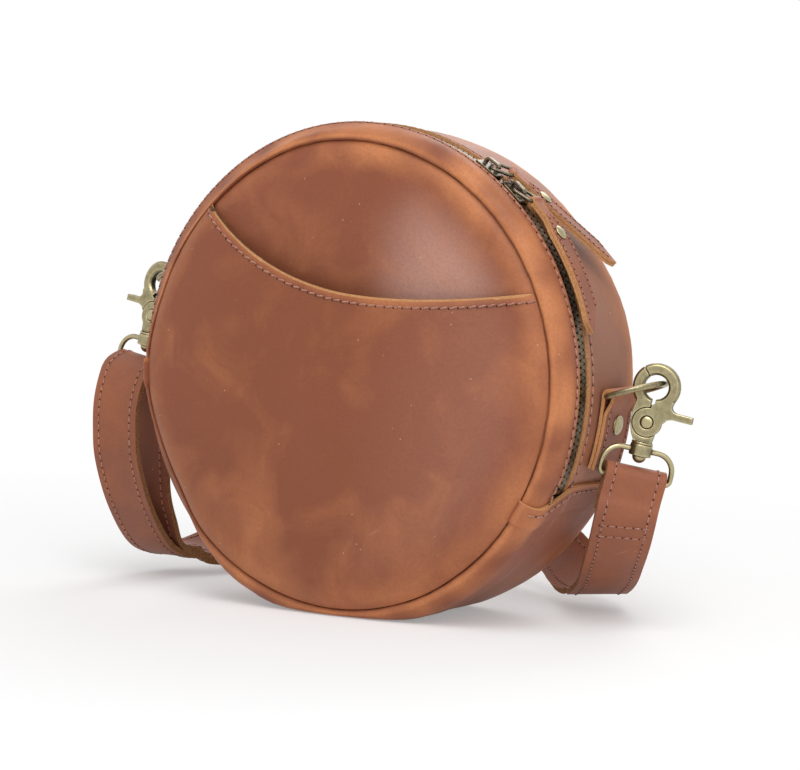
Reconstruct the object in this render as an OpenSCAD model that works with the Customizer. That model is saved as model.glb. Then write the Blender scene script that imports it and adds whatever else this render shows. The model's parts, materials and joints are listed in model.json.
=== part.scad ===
// Round crossbody bag of thick leather. The front faces -Y, +X is to the right and +Z is up.
// The bag rests on a short flat of its bottom gusset, rolled round on its rim as it was set down,
// so the bag is drawn upright about its own axis first and is then rolled.
// The origin is the middle of the rest flat. All lengths are in millimetres.

/* [Bag] */
// Outer radius of the gusset, the widest round of the bag
bag_r = 100; // [98:0.5:102]
// How far the two seams, where the panels meet the gusset, lie inside that radius
seam_in = 7.5; // [6:0.5:9]
// Distance between the front seam and the rear seam
body_d = 64; // [62:1:68]
// Thickness of the bag's leather
leather = 1.8; // [1.5:0.1:2]
// Height of the rolled edge of the gusset beside each seam
roll_h = 8; // [7:0.5:9]
// Depth of the groove in which each seam lies
groove = 2; // [1.5:0.25:2.5]
// How far the front panel swells at its middle
front_crown = 2.5; // [1:0.5:3]
// How far the rear panel swells at its middle
back_crown = 3.5; // [1:0.5:6]
// How far the bag sits into its rest flat
rest_sink = 4.5; // [3.5:0.5:5]
// How far the bag is rolled round on its rim, in degrees
bag_roll = 12; // [10:0.5:14]

/* [Front pocket] */
// How far the front pocket swells at its middle
pocket_crown = 9.5; // [8:0.5:12]
// Thickness of the pocket's leather
pocket_leather = 1.6; // [1.2:0.1:2]
// Height of the lowest point of the pocket's mouth above the bag's axis
mouth_low = 33.5; // [28:0.5:40]
// Height of the two ends of the mouth above the bag's axis
mouth_high = 53; // [46:0.5:60]
// How far left of the middle the mouth is lowest
mouth_shift = 8; // [0:1:16]

/* [Zip] */
// Distance of the chain's middle line behind the front seam
zip_in = 16.25; // [15.5:0.25:17]
// Width of the slot between the two zip gussets
zip_slot = 8.5; // [8.5:0.25:10]
// Length of one step from tooth to tooth along the tape
tooth_pitch = 2.7; // [2.4:0.1:3.2]
// Width of the closed chain
chain_w = 5.6; // [5.2:0.1:5.8]
// Height of a tooth through the tape
tooth_h = 2.6; // [2.2:0.1:2.8]
// Thickness of the zip's tape
tape_t = 0.6; // [0.4:0.1:0.8]
// Angle from the bag's horizontal down to each end of the zip, in degrees
zip_drop = 16.7; // [15:0.1:18]
// Width of a slider
slider_w = 7.8; // [7.6:0.1:8]
// Length of a slider
slider_len = 11; // [10:0.5:12]
// Angle at which the left slider stands, in degrees from the bag's right
left_slider_ang = 67.8; // [67:0.1:72]
// Angle at which the right slider stands, in degrees from the bag's right
right_slider_ang = 59.6; // [56:0.1:60]

/* [Zip pulls] */
// Length of a leather pull from its wire link to its tip
pull_len = 54; // [48:1:56]
// Width of a leather pull
pull_w = 11; // [9:0.5:11.5]
// Thickness of one of the two layers of a pull
pull_ply = 1.2; // [1:0.1:1.4]
// Thickness of the wire of the links
link_wire = 1.4; // [1.2:0.1:1.5]
// Length of a link between the middles of its two ends
link_len = 8.5; // [8:0.5:9.5]

/* [Strap tabs and rings] */
// Width of the tabs that hold the rings
tab_w = 22; // [19:1:24]
// Thickness of one of the two layers of a tab
tab_ply = 1.5; // [1.2:0.1:1.7]
// Length of a tab along the rim
tab_len = 29; // [26:1:32]
// Distance of the tabs' middle behind the bag's middle
tab_y = 9; // [8.5:0.5:11]
// Angle of the rings' bars above the bag's horizontal, in degrees
tab_ang = 10; // [9:0.5:11]
// Thickness of the wire of the rings
ring_wire = 2.4; // [2.2:0.1:2.6]
// Inner width of the rings
ring_in_w = 25; // [24.5:0.5:26]
// Distance from the bar of a ring to the middle of its bow
ring_reach = 18.5; // [18:0.25:19]

/* [Snap hooks] */
// Radius of the round eye of a hook
eye_r = 4.7; // [4.6:0.1:5]
// Width of the hook's jaw around the eye
jaw_w = 4.6; // [4:0.1:4.8]
// Thickness of the hook
hook_t = 4.2; // [3.8:0.1:4.4]
// Distance from the rivet to the middle of the eye
eye_rise = 14; // [13.5:0.25:14.5]
// Radius of the round boss about the rivet
boss_r = 5.65; // [5.3:0.05:5.8]
// Radius of the rivet
pin_r = 1.95; // [1.7:0.05:2]
// Reach of the lever beyond the rivet
lever_reach = 17; // [15:0.5:18]
// Distance from the rivet down to the middle of the swivel collar
collar_drop = 11; // [11:0.1:11.6]
// Radius of the swivel collar
collar_r = 4.3; // [4:0.1:4.6]
// Height of the swivel collar
collar_h = 4.6; // [4.2:0.1:4.8]
// Radius of the stem that turns in the collar
stem_r = 1.7; // [1.5:0.1:1.9]
// Thickness of the wire of the strap loops
loop_wire = 2.2; // [2:0.1:2.4]

/* [Strap] */
// Width of the strap
strap_w = 24; // [22:0.5:24]
// Thickness of the strap, two layers sewn together
strap_t = 2.6; // [2.2:0.1:2.7]
// Thickness of the wire of the adjuster
adjuster_wire = 2.4; // [2.2:0.1:2.6]
// Distance between the middle bar and an outer bar of the adjuster
adjuster_step = 12; // [12:0.5:13]

/* [Hidden] */
$fn = 48;
// Faces of the large rounds about the bag's axis
rim_fn = 180;
// One overrun serves all cuts
over = 5;
// Gap between pieces that lie on each other
gap = 0.1;
// Gap between pieces that move past each other
run_gap = 0.3;
// Gap between a shaft and the bore that turns on it
shaft_gap = 0.05;
// Steps of a quarter round in an outline, and of the swell of a panel
round_steps = 8;
crown_steps = 20;
left = -1;
right = 1;

bag_z = bag_r - rest_sink;
seam_r = bag_r - seam_in;
seam_z = body_d / 2;
wall_r = bag_r - leather;
lip_r = seam_r + leather;
zip_y = seam_z - zip_in;
slot_front = zip_y + zip_slot / 2;
slot_rear = zip_y - zip_slot / 2;
zip_from = -zip_drop;
zip_to = 180 + zip_drop;

// Degrees about the bag's axis that a length takes up on the rim
function rim_deg(length) = length / bag_r * 180 / PI;
function reversed(points) = [for (i = [len(points) - 1 : -1 : 0]) points[i]];
function flipped(points) = [for (p = points) [p[0], -p[1]]];
function quarter(x, y, rx, ry, from, to) = [for (i = [0 : round_steps])
    let (t = from + (to - from) * i / round_steps) [x + rx * cos(t), y + ry * sin(t)]];

// The bag is drawn about its own axis: X to the right, Y up and Z towards the front
module in_bag() translate([0, 0, bag_z]) rotate([0, bag_roll, 0]) rotate([90, 0, 0]) children();
module above(z) translate([-2 * bag_r, -2 * bag_r, z]) cube(4 * bag_r);
module swept(from, to)
    rotate([0, 0, from]) rotate_extrude(angle = to - from, $fn = rim_fn) children();

// Panels: a swell that falls away over a shoulder into the seam
shoulder_w = 7;
panel_edge_r = seam_r - gap;
crown_power = 2.6;
edge_power = 2.5;
panel_rise = 0.3;
panel_top = seam_z + panel_rise;
panel_drop = panel_rise + groove;
pocket_top = panel_top + gap + pocket_leather;
function dome(r, top, crown) = top + crown * (1 - pow(r / panel_edge_r, crown_power))
    - panel_drop * pow(max(0, (r - panel_edge_r + shoulder_w) / shoulder_w), edge_power);
function dome_line(top, crown) = [for (i = [0 : crown_steps])
    let (r = panel_edge_r * (1 - pow(1 - i / crown_steps, 2))) [r, dome(r, top, crown)]];
module domed(top, crown, thick) rotate_extrude($fn = rim_fn)
    polygon(concat(dome_line(top, crown), reversed(dome_line(top - thick, crown))));

module front_panel() color("peru") in_bag() domed(panel_top, front_crown, leather);
module back_panel() color("tan") in_bag() mirror([0, 0, 1]) domed(panel_top, back_crown, leather);

// The pocket's mouth dips to the left of the middle and climbs more steeply on that side
mouth_left_power = 2.2;
mouth_right_power = 1.6;
mouth_steps = 24;
mouth_half = sqrt(seam_r * seam_r - mouth_high * mouth_high);
function mouth_y(x) = mouth_low + (mouth_high - mouth_low) * (x < -mouth_shift
    ? pow((-mouth_shift - x) / (mouth_half - mouth_shift), mouth_left_power)
    : pow((x + mouth_shift) / (mouth_half + mouth_shift), mouth_right_power));
module below_mouth() linear_extrude(2 * bag_r)
    polygon(concat([[-bag_r, -bag_r], [bag_r, -bag_r]], [for (i = [mouth_steps : -1 : 0])
        let (x = -seam_r + 2 * seam_r * i / mouth_steps) [x, mouth_y(x)]]));
module front_pocket() color("chocolate") in_bag() intersection() {
    domed(pocket_top, pocket_crown, pocket_leather);
    below_mouth();
}

// Gusset: a straight wall with a rolled edge that dips into the seam on both sides
function edge_line(grow) = concat(
    quarter(lip_r, seam_z - groove + grow, leather, groove, 180, 90),
    quarter(lip_r, seam_z - roll_h, bag_r + grow - lip_r, roll_h + grow, 80, 0));
function inside_line(thick) = concat(
    quarter(lip_r, seam_z - roll_h, bag_r - thick - lip_r, roll_h - thick, 0, 90),
    [[seam_r, seam_z - groove - thick]]);
function outer_line(grow) = concat(edge_line(grow), reversed(flipped(edge_line(grow))));
function inner_line(thick) = concat(reversed(flipped(inside_line(thick))), inside_line(thick));
module zip_strip(line) in_bag() swept(zip_from + rim_deg(gap), zip_to - rim_deg(gap)) polygon(line);
module on_side(side) mirror([side == left ? 1 : 0, 0, 0]) children();

module zip_gusset_front() color("sienna") zip_strip(concat(edge_line(0),
    [[bag_r, slot_front], [wall_r, slot_front]], inside_line(leather)));
module zip_gusset_rear() color("rosybrown") difference() {
    zip_strip(concat(flipped(edge_line(0)), [[bag_r, slot_rear], [wall_r, slot_rear]],
        flipped(inside_line(leather))));
    for (side = [left, right]) rivet_hole(side);
}

// The bottom gusset closes the round, lies over both ends of the zip strips and is flat where it rests
overlap_len = 10;
step_len = 3.5;
// A line across the gusset, closed at a depth inside the seam
module inward(line, z, depth) polygon(concat(line, [[seam_r - depth, -z], [seam_r - depth, z]]));
module bottom_band() intersection() {
    in_bag() swept(zip_to - rim_deg(step_len), 360 + zip_from + rim_deg(step_len))
        inward(outer_line(0), seam_z - groove, over);
    above(0);
}
module bottom_hollow() intersection() {
    in_bag() swept(zip_to, 360 + zip_from)
        inward(reversed(inner_line(leather)), seam_z - groove - leather, over);
    above(leather);
}
module bottom_end(side) in_bag() on_side(side)
    swept(zip_from - rim_deg(step_len), zip_from + rim_deg(overlap_len))
        inward(outer_line(leather + gap), seam_z - groove + leather + gap, 2 * over);
module end_hollow(side) in_bag() on_side(side)
    swept(zip_from - rim_deg(gap), zip_from + rim_deg(overlap_len + over))
        inward(outer_line(gap), seam_z - groove + gap, 3 * over);
module bottom_gusset() color("saddlebrown") difference() {
    union() {
        bottom_band();
        for (side = [left, right]) bottom_end(side);
    }
    bottom_hollow();
    for (side = [left, right]) end_hollow(side);
    in_bag() translate([0, 0, -bag_r]) cylinder(h = 2 * bag_r, r = seam_r + gap, $fn = rim_fn);
}

// Lining: a thin bag inside the bag, open under the zip
lining_t = 0.7;
lining_in = 2;
lining_gap = 0.2;
lining_r = wall_r - lining_in;
lining_z = seam_z - groove - leather - lining_gap;
lining_floor = leather + lining_gap;
lining_slot = 0.3;
module lining_round(shrink) intersection() {
    in_bag() translate([0, 0, shrink - lining_z]) cylinder(h = 2 * (lining_z - shrink),
        r = lining_r - shrink, $fn = rim_fn);
    above(lining_floor + shrink);
}
module lining() color("darkslategray") difference() {
    lining_round(0);
    lining_round(lining_t);
    in_bag() swept(zip_from, zip_to) translate([lining_r - over, slot_rear - lining_slot])
        square([2 * over, zip_slot + 2 * lining_slot]);
}

// Zip: two tapes under the zip gussets, with teeth that meet in the slot between them
tape_r = wall_r - gap - tape_t / 2;
tape_w = seam_z - roll_h - zip_y - chain_w / 2;
tooth_count = floor((zip_to - zip_from) / rim_deg(tooth_pitch)) - 2;
tooth_deg = rim_deg(tooth_pitch);
nose_len = 0.9;
nose_share = 0.22;
foot_share = 0.34;
nose_half = nose_share * tooth_pitch;
foot_half = foot_share * tooth_pitch;
module zip_row(dir) translate([0, 0, zip_y]) mirror([0, 0, dir == left ? 1 : 0]) children();
module zip_tape(dir) in_bag() zip_row(dir) swept(zip_from + rim_deg(gap), zip_to - rim_deg(gap))
    translate([tape_r - tape_t / 2, chain_w / 2]) square([tape_t, tape_w]);
module tooth() rotate([90, 0, 90]) linear_extrude(tooth_h) polygon([[-nose_half / 2, -nose_len],
    [nose_half / 2, -nose_len], [nose_half, -nose_len / 2], [nose_half, nose_len],
    [foot_half, nose_len + gap], [foot_half, chain_w / 2], [-foot_half, chain_w / 2],
    [-foot_half, nose_len + gap], [-nose_half, nose_len], [-nose_half, -nose_len / 2]]);
module zip_teeth(dir) in_bag() zip_row(dir) for (i = [1 : tooth_count])
    rotate([0, 0, zip_from + (i + (dir == left ? 0.5 : 0)) * tooth_deg])
        translate([tape_r - tooth_h / 2, 0, 0]) tooth();
module zip_tape_front() color("black") zip_tape(right);
module zip_tape_rear() color("black") zip_tape(left);
module zip_teeth_front() color("dimgray") zip_teeth(right);
module zip_teeth_rear() color("dimgray") zip_teeth(left);

// Sliders: a curved plate with two flanges in the slot and a bridge for the link.
// In their frame X runs clockwise along the rim, Y to the rear and Z away from the bag's axis
plate_t = 1.15;
plate_sink = 0.55;
flange_w = 0.8;
bridge_w = 2.2;
bridge_wall = 1.2;
bridge_round = 1.8;
bridge_half = slider_len / 2 - bridge_round;
// Outline of a slider on one side, from its tail to its head, in halves of its length and width
slider_shape_share = [[-1, 0.87], [-0.2, 1], [0.7, 1], [1, 0.6]];
plate_in_r = bag_r - plate_sink;
plate_out_r = plate_in_r + plate_t;
flange_in_r = wall_r - gap + run_gap;
link_r = plate_out_r + run_gap + link_wire / 2;
bridge_in_r = link_r + link_wire / 2 + run_gap;
bridge_out_r = bridge_in_r + bridge_wall;
function slider_ang(side) = side == left ? left_slider_ang : right_slider_ang;
module at_slider(side) in_bag() rotate([0, 0, slider_ang(side) - 90]) translate([0, 0, zip_y])
    rotate([-90, 0, 0]) children();
module across(w) rotate([90, 0, 0]) translate([0, 0, -w / 2]) linear_extrude(w) children();
module slider_outline(head) let (side = [for (p = slider_shape_share)
    [head * p[0] * slider_len / 2, p[1] * slider_w / 2]])
    linear_extrude(2 * bag_r) polygon(concat(side, reversed(flipped(side))));
module slider_band() in_bag() {
    swept(0, 180) translate([plate_in_r, zip_y - slider_w / 2]) square([plate_t, slider_w]);
    for (y = [zip_y - slider_w / 2, zip_y + slider_w / 2 - flange_w]) swept(0, 180)
        translate([flange_in_r, y]) square([plate_out_r - flange_in_r - plate_t / 2, flange_w]);
}
module bridge_outline(half, top, corner) polygon(concat([[-half, bag_r], [half, bag_r]],
    quarter(half - corner, top - corner, corner, corner, 0, 90),
    quarter(corner - half, top - corner, corner, corner, 90, 180)));
module zip_slider(side) color("darkgoldenrod") {
    intersection() {
        slider_band();
        at_slider(side) slider_outline(-side);
    }
    at_slider(side) difference() {
        across(bridge_w) bridge_outline(bridge_half, bridge_out_r, bridge_round);
        across(bridge_w + over) translate([0, plate_t / 2])
            bridge_outline(bridge_half - bridge_wall, bridge_in_r - plate_t / 2, bridge_wall / 2);
    }
}
module zip_slider_left() zip_slider(left);
module zip_slider_right() zip_slider(right);

// Wire frames: the first bar lies on the Y axis and the frame reaches along X
module wire_bar(from, to, r) let (d = to - from, l = norm(d)) translate(from)
    rotate([0, acos(d[2] / l), atan2(d[1], d[0])]) cylinder(h = l, r = r);
module wire_bend(at, from, to, bend, r) translate([at[0], at[1], 0]) rotate([0, 0, from])
    rotate_extrude(angle = to - from) translate([bend, 0]) circle(r);
module wire_frame(len, half, corner, r) {
    for (x = [0, len]) wire_bar([x, corner - half, 0], [x, half - corner, 0], r);
    for (y = [-half, half]) wire_bar([corner, y, 0], [len - corner, y, 0], r);
    for (y = [-1, 1]) {
        wire_bend([len - corner, y * (half - corner)], y < 0 ? -90 : 0, y < 0 ? 0 : 90, corner, r);
        wire_bend([corner, y * (half - corner)], y < 0 ? 180 : 90, y < 0 ? 270 : 180, corner, r);
    }
}

// Pulls: a strip folded about the far end of its link, its two layers held by a rivet
link_in_w = 7;
link_corner = 1.5;
pull_neck_w = 6;
pull_neck_len = 8;
pull_flare_len = 17;
pull_eye_gap = 0.2;
pull_rivet_at = 16;
pull_rivet_r = 3;
pull_rivet_h = 0.9;
pull_back_h = 0.45;
pull_shank_r = 1.2;
pull_clear = 2.3;
pull_steps = 14;
// Slanted tip of a pull, in shares of its length and of its half width
pull_tip_share = [[0.93, -1], [1, -0.4], [0.82, 1]];
function link_yaw(side) = side == left ? 32 : 4;
function link_rise(side) = side == left ? 10 : 13;
// Lengths on the rim over whose angle each pull dips
left_dip_len = 19.2;
right_dip_len = 8.03;
function pull_pitch(side) = rim_deg(side == left ? left_dip_len : right_dip_len);
// The left pull sticks out straight, and the right one follows the rim
pull_round_r = link_r + pull_clear;
function pull_drop(side, s) = side == left ? 0 : pull_round_r - sqrt(pull_round_r * pull_round_r - s * s);
pull_eye_r = link_wire / 2 + pull_eye_gap + pull_ply;
module at_link(side) at_slider(side) translate([0, 0, link_r]) rotate([0, 0, link_yaw(side)])
    rotate([0, -link_rise(side), 0]) children();
module at_pull(side) at_link(side) translate([link_len, 0, 0])
    rotate([0, link_rise(side) + pull_pitch(side), 0]) children();
module pull_link(side) color("darkgoldenrod") at_link(side)
    wire_frame(link_len, link_in_w / 2 + link_wire / 2, link_corner, link_wire / 2);
module pull_side(side) polygon(concat(
    [for (i = [0 : pull_steps]) let (s = pull_len * i / pull_steps) [s, pull_ply - pull_drop(side, s)]],
    [for (i = [pull_steps : -1 : 0]) let (s = pull_len * i / pull_steps)
        [s, -pull_ply - pull_drop(side, s)]]));
module pull_outline() let (n = pull_neck_w / 2, w = pull_w / 2) polygon(concat(
    [[-pull_eye_r, -n], [pull_neck_len, -n], [pull_flare_len, -w]],
    [for (p = pull_tip_share) [p[0] * pull_len, p[1] * w]],
    [[pull_flare_len, w], [pull_neck_len, n], [-pull_eye_r, n]]));
module at_pull_rivet(side) at_pull(side) translate([pull_rivet_at, 0, -pull_drop(side, pull_rivet_at)])
    rotate([0, side == left ? 0 : asin(pull_rivet_at / pull_round_r), 0]) children();
module pull_tab(side) color("peru") difference() {
    at_pull(side) intersection() {
        union() {
            across(pull_w) pull_side(side);
            across(pull_w) circle(pull_eye_r);
        }
        translate([0, 0, -pull_len]) linear_extrude(2 * pull_len) pull_outline();
    }
    at_pull(side) across(pull_w + over) circle(link_wire / 2 + pull_eye_gap);
    at_pull_rivet(side) translate([0, 0, -over])
        cylinder(h = 2 * over, r = pull_shank_r + shaft_gap);
}
// Domed head with a small flat at its top
cap_arc = 80;
module cap(r, h) rotate_extrude()
    polygon(concat([[0, 0]], quarter(0, 0, r, h, 0, cap_arc), [[0, h * sin(cap_arc)]]));
module pull_rivet(side) color("gold") at_pull_rivet(side) {
    translate([0, 0, -pull_ply - gap]) cylinder(h = 2 * (pull_ply + gap), r = pull_shank_r);
    translate([0, 0, pull_ply + gap]) cap(pull_rivet_r, pull_rivet_h);
    translate([0, 0, -pull_ply - gap - pull_back_h]) cylinder(h = pull_back_h, r = pull_rivet_r);
}
module pull_link_left() pull_link(left);
module pull_link_right() pull_link(right);
module pull_tab_left() pull_tab(left);
module pull_tab_right() pull_tab(right);
module pull_rivet_left() pull_rivet(left);
module pull_rivet_right() pull_rivet(right);

// Tabs: a strip that lies on the rim, goes round the bar of a ring and comes back over itself
bar_gap = 0.2;
bar_r = bag_r + gap + bar_gap + tab_ply + bar_gap + ring_wire / 2;
tab_eye_r = ring_wire / 2 + bar_gap + tab_ply / 2;
tab_low_r = bag_r + gap + tab_ply / 2;
tab_top_r = tab_low_r + tab_ply + gap;
tab_rise_len = 8.2;
tab_rise_from = tab_ang - rim_deg(tab_rise_len);
tab_end = tab_ang - rim_deg(tab_len);
function ease(t) = t <= 0 ? 0 : t >= 1 ? 1 : t * t * (3 - 2 * t);
function polar(r, a) = [r * cos(a), r * sin(a)];
function tab_line() = concat(
    [for (i = [0 : round_steps]) let (a = tab_end + (tab_ang - tab_end) * i / round_steps)
        polar(tab_low_r + (bar_r - tab_eye_r - tab_low_r) * ease((a - tab_rise_from)
            / (tab_ang - tab_rise_from)), a)],
    [for (i = [1 : round_steps]) polar(bar_r, tab_ang)
        + polar(tab_eye_r, tab_ang + 180 - 180 * i / round_steps)],
    [for (i = [1 : 2 * round_steps]) let (a = tab_ang + (tab_end - tab_ang) * i / round_steps / 2)
        polar(tab_top_r + (bar_r + tab_eye_r - tab_top_r) * ease((a - tab_rise_from)
            / (tab_ang - tab_rise_from)), a)]);
// Outline of a strip seen from its edge: both sides of its middle line
function side_of(line, i, t) = let (p = line[max(i - 1, 0)], q = line[min(i + 1, len(line) - 1)],
    d = (q - p) / norm(q - p)) line[i] + t / 2 * [-d[1], d[0]];
function strip(line, t) = concat([for (i = [0 : len(line) - 1]) side_of(line, i, t)],
    [for (i = [len(line) - 1 : -1 : 0]) side_of(line, i, -t)]);
rivet_r = 4;
rivet_h = 1.1;
rivet_shank_r = 1.5;
rivet_back_r = 3.4;
rivet_back_h = 0.8;
rivet_seat_gap = 0.15;
rivet_from_fold = 11.5;
rivet_ang = tab_ang - rim_deg(rivet_from_fold);
rivet_seat_r = tab_top_r + tab_ply / 2 + rivet_seat_gap;
rivet_back_out = wall_r - rivet_seat_gap;
module at_rivet(side) in_bag() on_side(side) rotate([0, 0, rivet_ang])
    translate([0, 0, -tab_y]) rotate([0, 90, 0]) children();
module rivet_hole(side) at_rivet(side) translate([0, 0, wall_r - over])
    cylinder(h = leather + 2 * tab_ply + 2 * over, r = rivet_shank_r + shaft_gap);
module tab(side) color("peru") difference() {
    in_bag() on_side(side) translate([0, 0, -tab_y - tab_w / 2])
        linear_extrude(tab_w) polygon(strip(tab_line(), tab_ply));
    rivet_hole(side);
}
module tab_rivet(side) color("gold") at_rivet(side) {
    translate([0, 0, rivet_back_out]) cylinder(h = rivet_seat_r - rivet_back_out, r = rivet_shank_r);
    translate([0, 0, rivet_seat_r]) cap(rivet_r, rivet_h);
    translate([0, 0, rivet_back_out - rivet_back_h]) cylinder(h = rivet_back_h, r = rivet_back_r);
}
module tab_left() tab(left);
module tab_right() tab(right);
module tab_rivet_left() tab_rivet(left);
module tab_rivet_right() tab_rivet(right);

// Rings: a straight bar with two short legs and a half round bow
ring_half = ring_in_w / 2 + ring_wire / 2;
ring_corner = 2.2;
ring_leg = ring_reach - ring_half;
function bar_ang(side) = (side == right ? tab_ang : 180 - tab_ang) - bag_roll;
// Direction in which a ring points, in degrees about the bag's axis from the right
function ring_dir(side) = side == right ? 17 : 200;
function bar_at(side) = [bar_r * cos(bar_ang(side)), tab_y, bag_z + bar_r * sin(bar_ang(side))];
function bow_at(side) = bar_at(side)
    + ring_reach * [cos(ring_dir(side)), 0, sin(ring_dir(side))];
module d_ring(side) color("goldenrod") translate(bar_at(side)) rotate([0, -ring_dir(side), 0]) {
    wire_bar([0, ring_corner - ring_half, 0], [0, ring_half - ring_corner, 0], ring_wire / 2);
    for (y = [-1, 1]) {
        wire_bend([ring_corner, y * (ring_half - ring_corner)], y < 0 ? 180 : 90, y < 0 ? 270 : 180,
            ring_corner, ring_wire / 2);
        wire_bar([ring_corner, y * ring_half, 0], [ring_leg, y * ring_half, 0], ring_wire / 2);
    }
    wire_bend([ring_leg, 0], -90, 90, ring_half, ring_wire / 2);
}
module d_ring_left() d_ring(left);
module d_ring_right() d_ring(right);

// Hooks: X runs to the lever, Y through the hook and Z up its own axis, from the rivet
eye_shift = 0.5;
eye_seat = 1.9;
hook_lean_dir = 31;
function hook_lean(side) = side == right ? 11.6 : 12.5;
function hook_turn(side) = side == right ? -13 : 137;
function loop_turn(side) = side == right ? 7 : -37;
function turned_z(p, a) = [p[0] * cos(a) - p[1] * sin(a), p[0] * sin(a) + p[1] * cos(a), p[2]];
function turned_y(p, a) = [p[0] * cos(a) + p[2] * sin(a), p[1], p[2] * cos(a) - p[0] * sin(a)];
function leaned(side, turn, p) = turned_z(turned_y(turned_z(p, turn), hook_lean(side)), hook_lean_dir);
// The ring's bow lies high in the eye, on the side towards the lever of the right hook
function rivet_at(side) = bow_at(side)
    - leaned(side, hook_turn(side), [eye_shift + side * eye_seat, 0, eye_rise + eye_seat]);
module at_hook(side, turn) translate(rivet_at(side)) rotate([0, 0, hook_lean_dir])
    rotate([0, hook_lean(side), 0]) rotate([0, 0, turn]) children();

// The fixed jaw and the trigger meet over the eye and above the rivet, where they are halved together
parting_ang = 132;
// Angles at which the trigger's jaw and the fixed jaw leave their webs
jaw_root_ang = -80;
jaw_foot_ang = 264;
jaw_bevel = 0.9;
open_half = run_gap / (eye_r + jaw_w / 2) * 90 / PI;
boss_gap = 0.2;
pin_head_lip = 0.6;
pin_head_r = pin_r + pin_head_lip;
pin_head_h = 0.6;
spring_wire = 0.5;
spring_room = 1.9;
spring_seat_r = pin_r + spring_room;
spring_seat_h = 0.85;
flange_h = 0.8;
stem_head_r = 2.75;
collar_top = collar_h / 2 - collar_drop;
collar_low = collar_top - collar_h;
web_share = [[-1, 1.45], [-1.13, 0.71], [-1.12, -0.18], [-0.92, -0.88]];
web_foot_share = [0.69, -0.82];
lever_share = [[0.9, 1.7], [1.52, 1.7], [1.45, 1.34], [1.58, 1.13], [1.84, 1.03]];
lever_root_share = [[1.63, 0.55], [1.26, 0.42], [1.05, 0.14], [0.92, -0.26], [0.35, 0]];
lever_t = 2.7;
lever_top_share = 1.01;
lever_top = lever_top_share * boss_r;
web_foot_z = collar_top + gap + flange_h / 2;
// The web's foot stands inside the round of the flange
web_foot_in = 1;
jaw_foot_z = eye_rise - eye_r - jaw_w / 2;
function scaled(points, size) = [for (p = points) size * p];
module through(r, from, to) rotate([-90, 0, 0]) translate([0, 0, from]) cylinder(h = to - from, r = r);
module jaw(from, to) translate([eye_shift, 0, eye_rise]) rotate([90, 0, 0]) rotate([0, 0, from])
    rotate_extrude(angle = to - from) let (x = eye_r + jaw_w, h = hook_t / 2, b = jaw_bevel)
        polygon([[eye_r, b - h], [eye_r + b, -h], [x - b, -h], [x, b - h], [x, h - b], [x - b, h],
            [eye_r + b, h], [eye_r, h - b]]);
module hook_body(side) color("goldenrod") at_hook(side, hook_turn(side)) difference() {
    union() {
        difference() {
            union() {
                jaw(parting_ang + open_half, jaw_foot_ang);
                across(hook_t) polygon(concat([[0, jaw_foot_z]], scaled(web_share, boss_r),
                    [[web_foot_in - collar_r, web_foot_z], [collar_r - web_foot_in, web_foot_z],
                    boss_r * web_foot_share, [0, 0]]));
            }
            through(boss_r + boss_gap, -over, gap / 2);
        }
        through(boss_r, gap / 2, hook_t / 2);
        translate([0, 0, collar_top + gap]) cylinder(h = flange_h, r = collar_r - gap);
        translate([0, 0, collar_low - gap]) cylinder(h = collar_h + 3 * gap, r = stem_r);
        translate([0, 0, collar_low - gap]) mirror([0, 0, 1]) cap(stem_head_r, stem_head_r);
    }
    through(pin_r + shaft_gap, -over, over);
    through(pin_head_r + shaft_gap, hook_t / 2 - pin_head_h, over);
    through(spring_seat_r, -over, spring_seat_h);
}
module hook_trigger(side) color("gold") at_hook(side, hook_turn(side)) difference() {
    union() {
        difference() {
            union() {
                jaw(jaw_root_ang, parting_ang - open_half);
                across(hook_t) polygon(concat([[run_gap, 0], [run_gap, jaw_foot_z]],
                    scaled(lever_share, boss_r), [[lever_reach, lever_top],
                    [lever_reach, lever_top - lever_t]], scaled(lever_root_share, boss_r)));
            }
            through(boss_r + boss_gap, -gap / 2, over);
        }
        through(boss_r, -hook_t / 2, -gap / 2);
    }
    through(pin_r + shaft_gap, -over, over);
    through(pin_head_r + shaft_gap, -over, pin_head_h - hook_t / 2);
    through(spring_seat_r, -spring_seat_h, over);
}
module trigger_pin(side) color("darkgoldenrod") at_hook(side, hook_turn(side)) {
    through(pin_r, pin_head_h - hook_t / 2, hook_t / 2 - pin_head_h);
    through(pin_head_r, -hook_t / 2, pin_head_h - hook_t / 2);
    through(pin_head_r, hook_t / 2 - pin_head_h, hook_t / 2);
}

// Solid swept through rings of points, its ends closed by fans
function side_faces(rings, n) = [for (i = [0 : rings - 2], j = [0 : n - 1])
    each let (a = i * n + j, b = i * n + (j + 1) % n) [[a, b, b + n], [a, b + n, a + n]]];
function end_faces(rings, n) = [for (j = [1 : n - 2])
    each [[0, j + 1, j], [(rings - 1) * n, (rings - 1) * n + j, (rings - 1) * n + j + 1]]];
module swept_solid(rings) let (n = len(rings[0]))
    polyhedron([for (ring = rings) each ring], concat(side_faces(len(rings), n), end_faces(len(rings), n)));

// Return spring of the trigger, wound round the rivet in the hollow between the two halves
spring_turns = 2;
spring_steps = 16;
spring_sides = 6;
spring_pitch = spring_wire + shaft_gap;
spring_r = (pin_r + spring_seat_r) / 2;
module trigger_spring(side) color("silver") at_hook(side, hook_turn(side))
    rotate([-90, 0, 0]) translate([0, 0, -spring_pitch * spring_turns / 2])
        swept_solid([for (i = [0 : spring_turns * spring_steps]) let (a = 360 * i / spring_steps)
            [for (j = [0 : spring_sides - 1]) let (b = -360 * j / spring_sides,
                r = spring_r + spring_wire / 2 * cos(b))
                [r * cos(a), r * sin(a), spring_pitch * a / 360 + spring_wire / 2 * sin(b)]]]);

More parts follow.
